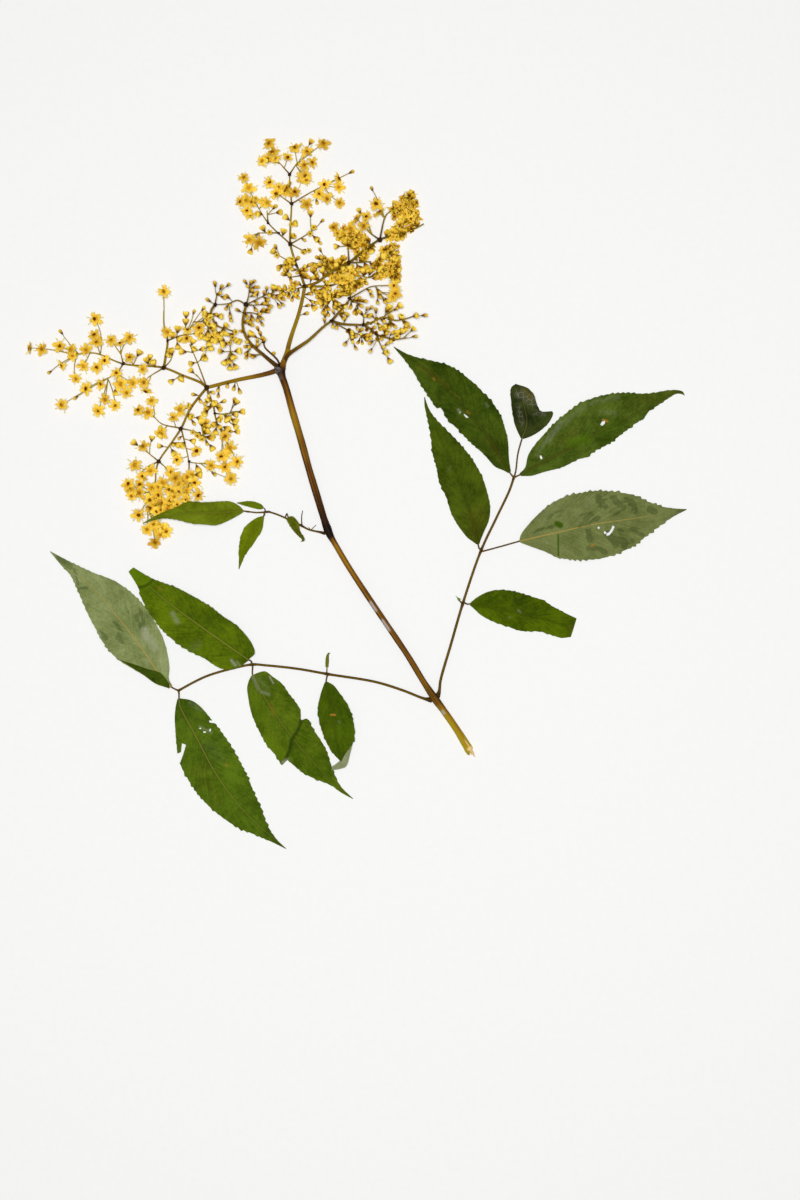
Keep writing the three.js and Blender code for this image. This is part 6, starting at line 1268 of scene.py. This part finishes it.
def blade(leaf, rng):
    """A leaflet's blade: point (s, t) lies at rib(s) + |t| (edge(s) - rib(s)) + t^6 tooth(s), where s is the
    share of each curve's length and t runs from -1 at the right edge to 1 at the left one. Faces inside a
    bite are left out, and the points round them are moved onto its outline."""
    base = np.array(leaf["stalk"][-1], float)
    tip = np.array(leaf["tip"], float)
    heading = unit(np.array(leaf["rib"][0]) - base)
    leftward = np.array([-heading[1], heading[0]])
    rib = curve_through([base, *leaf["rib"], tip])
    length = arc(rib)[-1]
    cell = CELL if length > SHORT_LEAFLET else SMALL_CELL
    rows = round(length / (0.78 * cell)) + 1
    s = np.linspace(0, 1, rows)
    spine = places_along(rib, s)
    rims, teeth = {}, {}
    for side, places in ((1, leaf["left"]), (-1, leaf["right"])):
        end = [] if leaf.get("cut") else [tip + leftward * side * BLADE_ENDS[1]]
        edge = curve_through([base + leftward * side * BLADE_ENDS[0], *places, *end])
        rims[side] = places_along(edge, s)
        teeth[side] = toothed(edge, side, s, leaf["teeth"], rng)
    half = max(np.linalg.norm(rim - spine, axis=1).max() for rim in rims.values())
    t = np.linspace(-1, 1, 2 * max(4, round(half / cell)) + 1)
    out = np.abs(t)[None, :, None]
    left = (t > 0)[None, :, None]
    rim = np.where(left, rims[1][:, None], rims[-1][:, None])
    tooth = np.where(left, teeth[1][:, None], teeth[-1][:, None])
    plan = spine[:, None] + out * (rim - spine[:, None]) + out**6 * tooth
    x, y = plan[..., 0], plan[..., 1]
    share = np.broadcast_to(s[:, None], x.shape)
    away = np.linalg.norm(plan - spine[:, None], axis=2)
    kept = np.ones((rows - 1, len(t) - 1), bool)
    middle = (plan[1:, 1:] + plan[:-1, :-1]) / 2
    for bite in leaf.get("bites", []):
        gone = inside(middle[..., 0], middle[..., 1], bite)
        kept &= ~gone
        touched = np.pad(gone, 1)
        touched = touched[1:, 1:] | touched[1:, :-1] | touched[:-1, 1:] | touched[:-1, :-1]
        rim_place, gap = nearest_on(x, y, bite, closed=True)
        near = touched & (gap < 0.9 * cell)
        plan[near] = rim_place[near]
    phase = (share * length - VEIN_SWEEP * out[..., 0] ** 0.85 * away.max() / 10) / VEIN_PITCH
    vein = 1 - smooth(np.abs(phase % 1 - 0.5) * VEIN_PITCH, 0.1, 0.9)
    rib_relief = 0.16 * (1 - smooth(away, 0.1, 0.8)) * (1 - share)
    crumple = 0.07 * swell(x, y, rng, 6.5) + 0.035 * swell(x, y, rng, 2.4)
    relief = rib_relief + 0.045 * vein * smooth(away, 0.4, 1.5) + crumple * smooth(away, 0, 2)
    z = blade_height(leaf, share, out[..., 0], np.sign(t)) + BLADE_LIFT + BLADE_THICKNESS + relief
    top = np.dstack([plan, np.maximum(z, BLADE_THICKNESS + LEAST_CLEARANCE)])
    marks = {"run": share, "off_rib": away * np.sign(t), "phase": phase, **stroke_marks(leaf, x, y)}
    skin = sheet(top, BLADE_THICKNESS, kept, marks)
    if leaf.get("face") == "underside":
        skin.marks["below"] = 1 - skin.marks["below"]
    return skin


def folded_part(leaf, flap, rng):
    """A folded-over part of a blade: ruled between its outer line and its inner one, a little above or
    below the blade, and showing the blade's other face or the same one."""
    over = flap["lift"] > 0
    u, v = np.meshgrid(np.linspace(0, 1, 60), np.linspace(0, 1, 16), indexing="ij")
    outer, inner = (even_path(flap[line], 60) for line in ("outer", "inner"))
    plan = outer[:, None] + v[..., None] * (inner - outer)[:, None]
    bend = 0.25 * np.sin(math.pi * v) * over + 0.05 * swell(plan[..., 0], plan[..., 1], rng, 3)
    height = leaf["heights"][0 if over else 1] + BLADE_LIFT + BLADE_THICKNESS + flap["lift"] + bend
    top = np.dstack([plan, np.maximum(height, SCRAP_THICKNESS + LEAST_CLEARANCE)])
    marks = {"run": 0.2 + 0.2 * u, "off_rib": 3 + 3 * v, "phase": u * 5 + v * 0.6}
    # Painted shade in the crease: a part folded over the blade is darker towards its outer line, where it
    # folds.
    marks["dark"] = 0.35 * (1 - v) * over
    skin = sheet(top, SCRAP_THICKNESS, np.ones((59, 15), bool), marks)
    skin.marks["below"] = np.full(len(skin.points), float(flap["face"] == "underside"))
    return skin


RACHIS_PLACES = np.vstack([curve_through(run[1:]) for runs in RACHISES.values() for run in runs])


def leaflet_piece(leaf, rng):
    """A whole leaflet: its blade, its folded parts, and its stalk, which starts inside the leaf stalk
    that carries it and runs on under the midrib."""
    first, end = np.array(leaf["stalk"][0]), np.array(leaf["stalk"][-1])
    root = RACHIS_PLACES[np.linalg.norm(RACHIS_PLACES - first, axis=1).argmin()]
    heading = unit(np.array(leaf["rib"][0]) - end)
    path = even_path([root, *leaf["stalk"], end + heading * UNDER_RIB], 24)
    run = arc(path)
    height = blade_height(leaf, 0.0, 0.0, 0) + BLADE_LIFT + 0.12
    level = RACHIS_HEIGHT + (height - RACHIS_HEIGHT) * smooth(run, 0, 0.6 * run[-1])
    slim = 0.72 if leaf["teeth"] < 0.12 else 1  # the smallest leaflets have hardly any teeth
    radius = LEAF_STALK_RADIUS * slim * (1 - 0.45 * smooth(run, run[-1] - 3, run[-1]))
    radius = radius * (1 + 0.35 * hump(run, 0.9))
    stalk = tube(at_height(path, np.maximum(level, radius)), radius, 10, wood=1)
    stalk.marks = {"wood": stalk.marks["wood"]}
    parts = [blade(leaf, rng)] + [folded_part(leaf, flap, rng) for flap in leaf.get("flaps", [])]
    return together([*parts, stalk])


# ---- flower head ----
RAY_ROOT = (-28.4, 46.8)
KINDS = ("flowers", "cups", "buds")
PETAL_SIDES = 20  # points round a flower: notch, shoulder, tip and shoulder of each petal
PETAL_LOBES = (0.54, 0.86, 1.05, 0.86)
PETAL_PROFILE = [(0, 0.1), (0.5, 0.12), (1, 0.02), (0, -0.3)]  # radius and height, top to foot
HEART_PROFILE = [(0, 0.34), (0.25, 0.2), (0, -0.1)]
KNOT_PROFILE = [(0, -1), (0.72, -0.7), (1, 0), (0.72, 0.7), (0, 1)]
CUP_LOBES = (0.66, 1.0)
# Rings of a bud and of a half-open flower, foot to top: radius and height, then how far each is brown as
# the foot, coloured as the rim, pale as the anthers and dark as the heart. The pale at a bud's tip is a
# painted highlight, and at a half-open flower's mouth it is the anthers and a painted highlight.
BUD_RINGS = [
    (0, -1.7, 1, 0.2, 0, 0.4), (0.3, -1.4, 1, 0.3, 0, 0.4), (0.5, -0.9, 1, 0.3, 0, 0.4),
    (0.74, -0.2, 0.75, 0.5, 0, 0), (0.96, 0.5, 0.35, 0.7, 0, 0), (1, 1.1, 0.05, 0.9, 0.15, 0),
    (0.66, 1.7, 0, 1, 0.4, 0), (0, 1.95, 0, 1, 0.4, 0),
]
CUP_RINGS = [
    (0, -1.1, 1, 0.2, 0, 0.4), (0.2, -0.95, 1, 0.3, 0, 0.4), (0.42, -0.55, 0.9, 0.4, 0, 0.2),
    (0.74, -0.1, 0.3, 0.6, 0, 0), (0.95, 0.4, 0, 0.8, 0.2, 0), (0.8, 0.75, 0, 1, 0.6, 0),
    (0.28, 0.5, 0, 0.4, 0.2, 0.5), (0, 0.45, 0, 0.2, 0, 0.9),
]


def limbs_of(spray):
    """Every straight run of a spray's ray and branches: its two ends, with the ray rising to the layer."""
    layer = spray["layer"]
    ray = [(*place, layer if number else FORK_HEIGHT) for number, place in enumerate(spray["ray"])]
    runs = [ray] + [raised(branch, layer) for branch in spray["branches"]]
    return [np.array(pair) for run in runs for pair in zip(run, run[1:])]


def raised(branch, layer):
    """A branch's points in space: at its layer, and higher where a point has a third number."""
    return np.array([(x, y, layer + sum(lift)) for x, y, *lift in branch], float)


def nearest_share(tips, limb):
    """How far each tip is from a limb in plan, and the share of the limb where it is nearest."""
    start, run = limb[0, :2], limb[1, :2] - limb[0, :2]
    share = np.clip((tips[:, :2] - start) @ run / (run @ run), 0, 1)
    return np.linalg.norm(tips[:, :2] - start - share[:, None] * run, axis=1), share


def grow_stalks(limbs, tips, sunk):
    """Roots of the tips' stalks. The tip nearest to what has grown comes next; its stalk starts a little
    way back along that limb, so that it leans forward; later ones may start from its lower half. A tip
    stands higher than its root unless it is sunk."""
    limbs = list(limbs)
    gaps, shares = np.array([nearest_share(tips, limb) for limb in limbs]).transpose(1, 0, 2)
    carrier, gap = gaps.argmin(0), gaps.min(0)
    share = shares[carrier, np.arange(len(tips))]
    roots, ends = np.zeros_like(tips), tips.copy()
    waiting = np.ones(len(tips), bool)
    for _ in tips:
        tip = np.where(waiting, gap, np.inf).argmin()
        waiting[tip] = False
        limb = limbs[carrier[tip]]
        length = np.linalg.norm(limb[1, :2] - limb[0, :2])
        slide = FORWARD_SLIDE * gap[tip] / length if gap[tip] > SHORT_GAP else 0
        roots[tip] = limb[0] + (limb[1] - limb[0]) * max(0, share[tip] - slide)
        if not sunk[tip]:
            ends[tip, 2] = max(ends[tip, 2], roots[tip, 2] + LEAST_RISE)
        if (roots[tip, :2] == ends[tip, :2]).all():
            continue  # nothing grows from a stalk that stands straight up
        limbs.append(np.array([roots[tip], (roots[tip] + ends[tip]) / 2]))
        near, near_share = nearest_share(tips, limbs[-1])
        closer = waiting & (near < gap)
        gap[closer], share[closer], carrier[closer] = near[closer], near_share[closer], len(limbs) - 1
    return roots, ends


def fan_faces(rings, size):
    """Faces of a closed form: a first point, rings of `size` points, and a last point."""
    here = 1 + np.arange(size)
    onward = np.roll(here, -1)
    top = (rings - 1) * size
    first, last = np.zeros(size, int), np.full(size, 1 + rings * size)
    fans = [np.stack([first, here, onward], 1), np.stack([last, onward + top, here + top], 1)]
    walls = [
        np.stack([here, here + size, onward + size, onward], 1) + ring * size for ring in range(rings - 1)
    ]
    return [np.vstack(fans)] + ([np.vstack(walls)] if walls else [])


def turned_form(profile, size, count, lobes=1.0):
    """Local points of a closed form of revolution: profile rows of radius and height, first and last on
    the axis; lobes, count x size, stretch each ring by its share of the widest radius."""
    angle = np.arange(size) * 2 * math.pi / size
    radius, height = np.array(profile, float).T
    share = radius[1:-1] / radius.max()
    stretch = np.broadcast_to(lobes, (count, size))
    ring = radius[1:-1][None, :, None] * (1 + share[None, :, None] * (stretch[:, None] - 1))
    x, y = ring * np.cos(angle), ring * np.sin(angle)
    z = np.broadcast_to(height[1:-1][None, :, None], x.shape)
    rings = np.stack([x, y, z], axis=-1).reshape(count, -1, 3)
    ends = np.zeros((count, 2, 3))
    ends[:, 0, 2], ends[:, 1, 2] = height[0], height[-1]
    return np.concatenate([ends[:, :1], rings, ends[:, 1:]], axis=1)


def form_skin(local, size, facing, turn, centres, marks):
    """Copies of a closed form of rings of `size` points as one skin: round the z axis, turned by `turn`,
    tipped until z points along `facing`, and put at the centres. marks are count x points, or per point."""
    count, corners = local.shape[:2]
    side = unit(np.cross(facing, np.column_stack([np.cos(turn), np.sin(turn), 0 * turn])))
    frames = np.stack([side, np.cross(facing, side), facing], axis=1)
    points = (centres[:, None] + np.einsum("nvk,nkc->nvc", local, frames)).reshape(-1, 3)
    starts = (np.arange(count) * corners)[:, None, None]
    faces = [(face + starts).reshape(-1, face.shape[1]) for face in fan_faces((corners - 2) // size, size)]
    every = {name: np.broadcast_to(mark, (count, corners)).ravel() for name, mark in marks.items()}
    return Skin(points, faces, every)


def flowers(centres, facing, reach, tone, rng):
    """Open flowers: a shallow five-lobed star, round-tipped, thin at the rim; a domed heart; and five
    stamens."""
    count = len(centres)
    turn = rng.uniform(0, 2 * math.pi, count)
    petal = np.repeat(rng.uniform(0.8, 1.14, (count, 5)), 4, axis=1)
    lobes = np.tile(PETAL_LOBES, 5) * petal * rng.uniform(0.9, 1.1, (count, PETAL_SIDES))
    local = turned_form(PETAL_PROFILE, PETAL_SIDES, count, lobes)
    inner, outer = slice(1, 1 + PETAL_SIDES), slice(1 + PETAL_SIDES, 1 + 2 * PETAL_SIDES)
    curl = np.repeat(rng.normal(0.05, 0.2, (count, 5)), 4, axis=1)
    local[:, outer, 2] += curl + rng.normal(0, 0.04, (count, PETAL_SIDES))
    local[:, inner, 2] += rng.normal(0, 0.02, (count, PETAL_SIDES))
    rows = [1, PETAL_SIDES, PETAL_SIDES, 1]
    stars = form_skin(local * reach[:, None, None], PETAL_SIDES, facing, turn, centres, {
        "reach": np.repeat([0.1, 0.5, 1, 0.3], rows), "tone": tone[:, None],
        "heart": np.repeat([0.5, 0, 0, 0], rows), "foot": np.repeat([0, 0, 0, 0.8], rows),
    })
    dome = turned_form(HEART_PROFILE, 6, count, rng.uniform(0.45, 1.5, (count, 6)))
    hearts = form_skin(dome * reach[:, None, None], 6, facing, turn, centres, {
        "tone": tone[:, None], "heart": rng.uniform(0.35, 1, (count, 1)),
    })
    return [stars, hearts, stamens(centres, facing, reach, tone, turn, rng)]


def stamens(centres, facing, reach, tone, turn, rng):
    """Five spindles for each flower, each from near the heart to between two petals and thickest near its
    outer end."""
    count = len(centres)
    angle = np.arange(5) * 2 * math.pi / 5 + rng.normal(0, 0.16, (count, 5))
    far = rng.uniform(0.95, 1.42, (count, 5)) * reach[:, None]
    rise = rng.uniform(0.05, 0.3, (count, 5)) * reach[:, None]
    out = np.stack([np.cos(angle), np.sin(angle), 0 * angle], axis=-1)
    side = np.stack([-np.sin(angle), np.cos(angle), 0 * angle], axis=-1)
    up = np.array([0, 0, 1.0])
    foot = out * 0.1 + up * 0.12
    end = out * far[..., None] + up * rise[..., None]
    anther = foot + (end - foot) * 0.84
    thirds = math.pi / 2 + np.arange(3) * 2 * math.pi / 3
    ring = [anther + STAMEN_RADIUS * (math.cos(third) * side + math.sin(third) * up) for third in thirds]
    local = np.stack([foot, *ring, end], axis=2).reshape(count * 5, 5, 3)
    facing, turn, centres, tone = (np.repeat(values, 5, axis=0) for values in (facing, turn, centres, tone))
    marks = {"reach": 0.6, "tone": 0.3 * tone[:, None], "anther": [0.3, 1, 1, 1, 1]}
    return form_skin(local, 3, facing, turn, centres, marks)


def drops(rings, size, lobes, centres, heading, reach, tone, rng):
    """Closed forms that point along their stalks, made of rings of `size` points."""
    count = len(centres)
    rows = [1] + [size] * (len(rings) - 2) + [1]
    foot, rim, pale, heart = np.repeat(np.array(rings, float)[:, 2:], rows, axis=0).T
    local = turned_form([ring[:2] for ring in rings], size, count, lobes) * reach[:, None, None]
    # The anther mark here is a painted highlight at a bud's tip, and the anthers with a painted highlight at
    # a half-open flower's mouth.
    return [form_skin(local, size, heading, rng.uniform(0, 6, count), centres, {
        "reach": rim, "tone": tone[:, None], "heart": heart, "foot": foot, "anther": pale,
    })]


def buds(centres, heading, reach, tone, rng):
    """Closed buds: round drops on a small brown foot."""
    return drops(BUD_RINGS, 7, 1.0, centres, heading, reach, tone, rng)


def half_open(centres, heading, reach, tone, rng):
    """Flowers seen from the side, half open: a rounded five-lobed cup on a brown foot, pale at the rim."""
    lobes = np.tile(CUP_LOBES, 5) * rng.uniform(0.82, 1.15, (len(centres), 10))
    return drops(CUP_RINGS, 10, lobes, centres, heading, reach, tone, rng)


def knots(places, radii, rng):
    """Swollen joints where branches leave: squashed balls with an uneven skin."""
    count = len(places)
    local = turned_form(KNOT_PROFILE, 8, count, rng.uniform(0.75, 1.25, (count, 8))) * radii[:, None, None]
    facing = np.tile([0.0, 0, 1], (count, 1))
    return form_skin(local, 8, facing, rng.uniform(0, 6, count), places, {"knot": 1, "gold": 0.2})


def spray_places(spray, rng):
    """Where everything at the end of a stalk stands, what it is (0 flower, 1 half open, 2 bud), and
    whether it is in a crowd. Those in a crowd stand at drawn places inside its outline."""
    listed = [spray.get(title, []) for title in KINDS]
    places = [np.array(those, float).reshape(-1, 2) for those in listed]
    kinds = [np.repeat(range(3), [len(those) for those in listed])]
    for counts, *outline in spray.get("crowds", []):
        corners = np.array(outline, float)
        tries = rng.uniform(corners.min(0), corners.max(0), (12 * sum(counts), 2))
        places.append(tries[inside(*tries.T, corners)][:sum(counts)])
        kinds.append(np.repeat(range(3), counts))
    kinds = np.concatenate(kinds)
    return np.vstack(places), kinds, np.arange(len(kinds)) >= sum(map(len, listed))


def spray_wood(spray, rng):
    """A spray's ray, its branches, and the knots where they part, larger where more branches leave."""
    layer = spray["layer"]
    path = even_path([RAY_ROOT, *spray["ray"]], 70)
    run = arc(path)
    radii = spray["ray_radii"]
    wood = [tube(
        at_height(path, FORK_HEIGHT + (layer - FORK_HEIGHT) * smooth(run, 1.5, 9)),
        np.interp(np.linspace(0, 1, 70), np.linspace(0, 1, len(radii)), radii), 14, flutes=(5, 0.05),
        knot=0.7 - 0.7 * smooth(run, 1.2, 3.4), gold=0.1 + 0.55 * smooth(run, 4, 15),
    )]
    branches = [raised(branch, layer) for branch in spray["branches"]]
    starts = np.array([branch[0] for branch in branches])
    for branch in branches:
        path = even_path(branch, 40)
        lift = path[:, 2] - layer
        thick = np.linspace(*(MAIN_BRANCH if len(branch) > 4 else SIDE_BRANCH), 40)
        knot = np.maximum(0.95 * hump(plan_gap(path, starts), 1.2), 0.35 * lift)
        gold = 0.6 + 0.35 * np.linspace(0, 1, 40)
        wood.append(tube(path, thick * (1 + 0.12 * lift), 8, knot=knot, gold=gold))
    joints, counts = np.unique(starts, axis=0, return_counts=True)
    sizes = np.clip(0.42 + 0.16 * counts, 0.5, 1.3) + 0.3 * (joints[:, 2] > layer + 1)
    wood.append(knots(joints, sizes, rng))
    return wood


def spray_pieces(spray, rng):
    """One ray of the flower head: its ray and branches, and a stalk for every flower and bud, as one
    skin; and the flowers and buds as another."""
    layer = spray["layer"]
    plan, kinds, crowded = spray_places(spray, rng)
    count = len(plan)
    height = layer + TIP_RISE[0] + TIP_RISE[1] * rng.random(count)
    height[crowded] = CROWD_HEIGHT[0] + CROWD_HEIGHT[1] * rng.random(crowded.sum()) ** 1.5
    roots, ends = grow_stalks(limbs_of(spray), at_height(plan, height), crowded)
    way = ends - roots
    gap = np.linalg.norm(way, axis=1)
    wood = spray_wood(spray, rng)
    steps = np.linspace(0, 1, 6)[:, None]
    sideways = unit(np.cross(way, [0, 0, 1])) * (gap * rng.normal(0, 0.07, count))[:, None]
    bend = roots + way * 0.5 + sideways + [0, 0, 0.1]
    paths = (1 - steps) ** 2 * roots[:, None] + 2 * steps * (1 - steps) * bend[:, None]
    paths = paths + steps**2 * ends[:, None]
    slim = np.linspace(*FLOWER_STALK, 6) * rng.uniform(0.85, 1.2, (count, 1))
    wood.append(tubes(paths, slim, 5, knot=0.45 * crowded[:, None], gold=0.95))

    heading = unit(way * [1, 1, 0.45])
    lean = rng.uniform(0.1, 0.6, count) + 1.3 * (rng.random(count) < 0.08 + 0.42 * crowded)
    facing = unit(at_height(heading[:, :2] * lean[:, None], 1))
    tone = np.array(spray["tones"])[kinds] + 0.12 * crowded
    tone = np.clip(rng.normal(tone, 0.16 + 0.12 * crowded), 0, 1)
    size = rng.uniform(0.85, 1.12, count) * (1 - 0.26 * crowded * (kinds == 0))
    bloom = []
    for kind, make, reach in ((0, flowers, PETAL_REACH), (1, half_open, CUP_REACH), (2, buds, BUD_RADIUS)):
        now = kinds == kind
        if now.any():
            way_up = facing[now] if kind == 0 else heading[now]
            bloom += make(ends[now], way_up, size[now] * reach, tone[now], rng)
    return together(wood), together(bloom)


def pressed(skin):
    """Holds a skin inside the frame's own box, and no higher than the press left it."""
    low, high = np.array(cad_box) / MM
    skin.points = np.clip(skin.points, low, [high[0], high[1], HIGHEST])
    return skin


# ---- the sprig ----
STEM_BARK = bark_finish("stem_bark", (60, 34, 8), (114, 70, 10), (156, 114, 20), (26, 15, 8), coat=0.02)
RACHIS_BARK = bark_finish(
    "leaf_stalk_bark", (72, 50, 0), (94, 70, 0), (118, 94, 0), (44, 26, 6), coat=0.02,
)
make_piece("stem_bark", pressed(stem_piece()), STEM_BARK, "stem")
for side in RACHISES:
    node = side + "_leaf_stalk"
    make_piece(node + "_bark", pressed(rachis_piece(side)), RACHIS_BARK, node)
for number, (node, leaf) in enumerate(LEAFLETS.items()):
    skin = pressed(leaflet_piece(leaf, np.random.default_rng(LEAF_SEED + number)))
    slot = "leaf_underside" if leaf.get("face") == "underside" else "leaf_top"
    make_piece(node + "_blade", skin, leaf_finish(node), node)
OLIVE = bark_finish("olive_flower_stalks", (92, 58, 18), (130, 94, 8), (166, 144, 14), (52, 32, 12))
BROWN = bark_finish("brown_flower_stalks", (70, 44, 14), (112, 80, 12), (148, 122, 12), (44, 28, 14))
AMBER = flower_finish("amber_petals")
for number, (node, spray) in enumerate(SPRAYS.items()):
    wood, bloom = spray_pieces(spray, np.random.default_rng(SPRAY_SEED + number))
    make_piece(node + "_stalks", pressed(wood), BROWN if spray["brown"] else OLIVE, node)
    make_piece(node + "_bloom", pressed(bloom), AMBER, node)

# ---- surface, light and camera ----
VIEW_CENTRE = np.array([16.5, -40.0, 0]) * MM  # where the camera looks straight down
VIEW_LENGTH = 450.5  # mm of the surface along the picture's long side
LENS, SENSOR = 80.0, 36.0
FLOOR_SIDE = 4.0  # m
LAMP_SIDE = 0.3  # m
LAMPS = {"left_lamp": ((-0.09, 0.02, 1.5), 10.45), "right_lamp": ((0.12, -0.1, 1.5), 10.05)}  # m and W
SKY_STRENGTH = 0.16
PAPER = ((0.875, 0.875, 0.865, 1), (0.905, 0.905, 0.9, 1))  # linear shades of its fibres


def paper_finish():
    """The pale surface: nearly white, with a faint fibre."""
    f = Finish("pale_surface", specular=0.15)
    fibre = f.noise(420, detail=4)
    return f.done(f.mix(fibre, *PAPER), 0.85 + fibre * 0.1, fibre, depth=0.03)


def surface():
    """A wide flat floor under the sprig."""
    half = FLOOR_SIDE / 2
    corners = [(-half, -half, 0), (half, -half, 0), (half, half, 0), (-half, half, 0)]
    mesh = bpy.data.meshes.new("surface")
    mesh.from_pydata(corners, [], [(0, 1, 2, 3)])
    mesh.materials.append(paper_finish())
    floor = into_scene("surface", mesh)


def soft_light(name, place, power):
    """A square lamp that faces the middle of the picture."""
    lamp = bpy.data.lights.new(name, "AREA")
    lamp.energy, lamp.size = power, LAMP_SIDE
    holder = into_scene(name, lamp)
    way = unit(VIEW_CENTRE - place)
    holder.location = place
    holder.rotation_euler = (math.acos(-way[2]), 0, math.atan2(-way[0], way[1]))


surface()
for name, (place, power) in LAMPS.items():
    soft_light(name, place, power)
world = bpy.data.worlds.new("studio")
world.use_nodes = True
world.node_tree.nodes["Background"].inputs["Color"].default_value = (1, 1, 1, 1)
world.node_tree.nodes["Background"].inputs["Strength"].default_value = SKY_STRENGTH
bpy.context.scene.world = world
bpy.context.scene.view_settings.view_transform = "Standard"

camera = into_scene("camera", bpy.data.cameras.new("camera"))
camera.data.lens, camera.data.sensor_width = LENS, SENSOR
camera.location = (*VIEW_CENTRE[:2], VIEW_LENGTH * MM * LENS / SENSOR)
bpy.context.scene.camera = camera

bpy.context.view_layer.update()
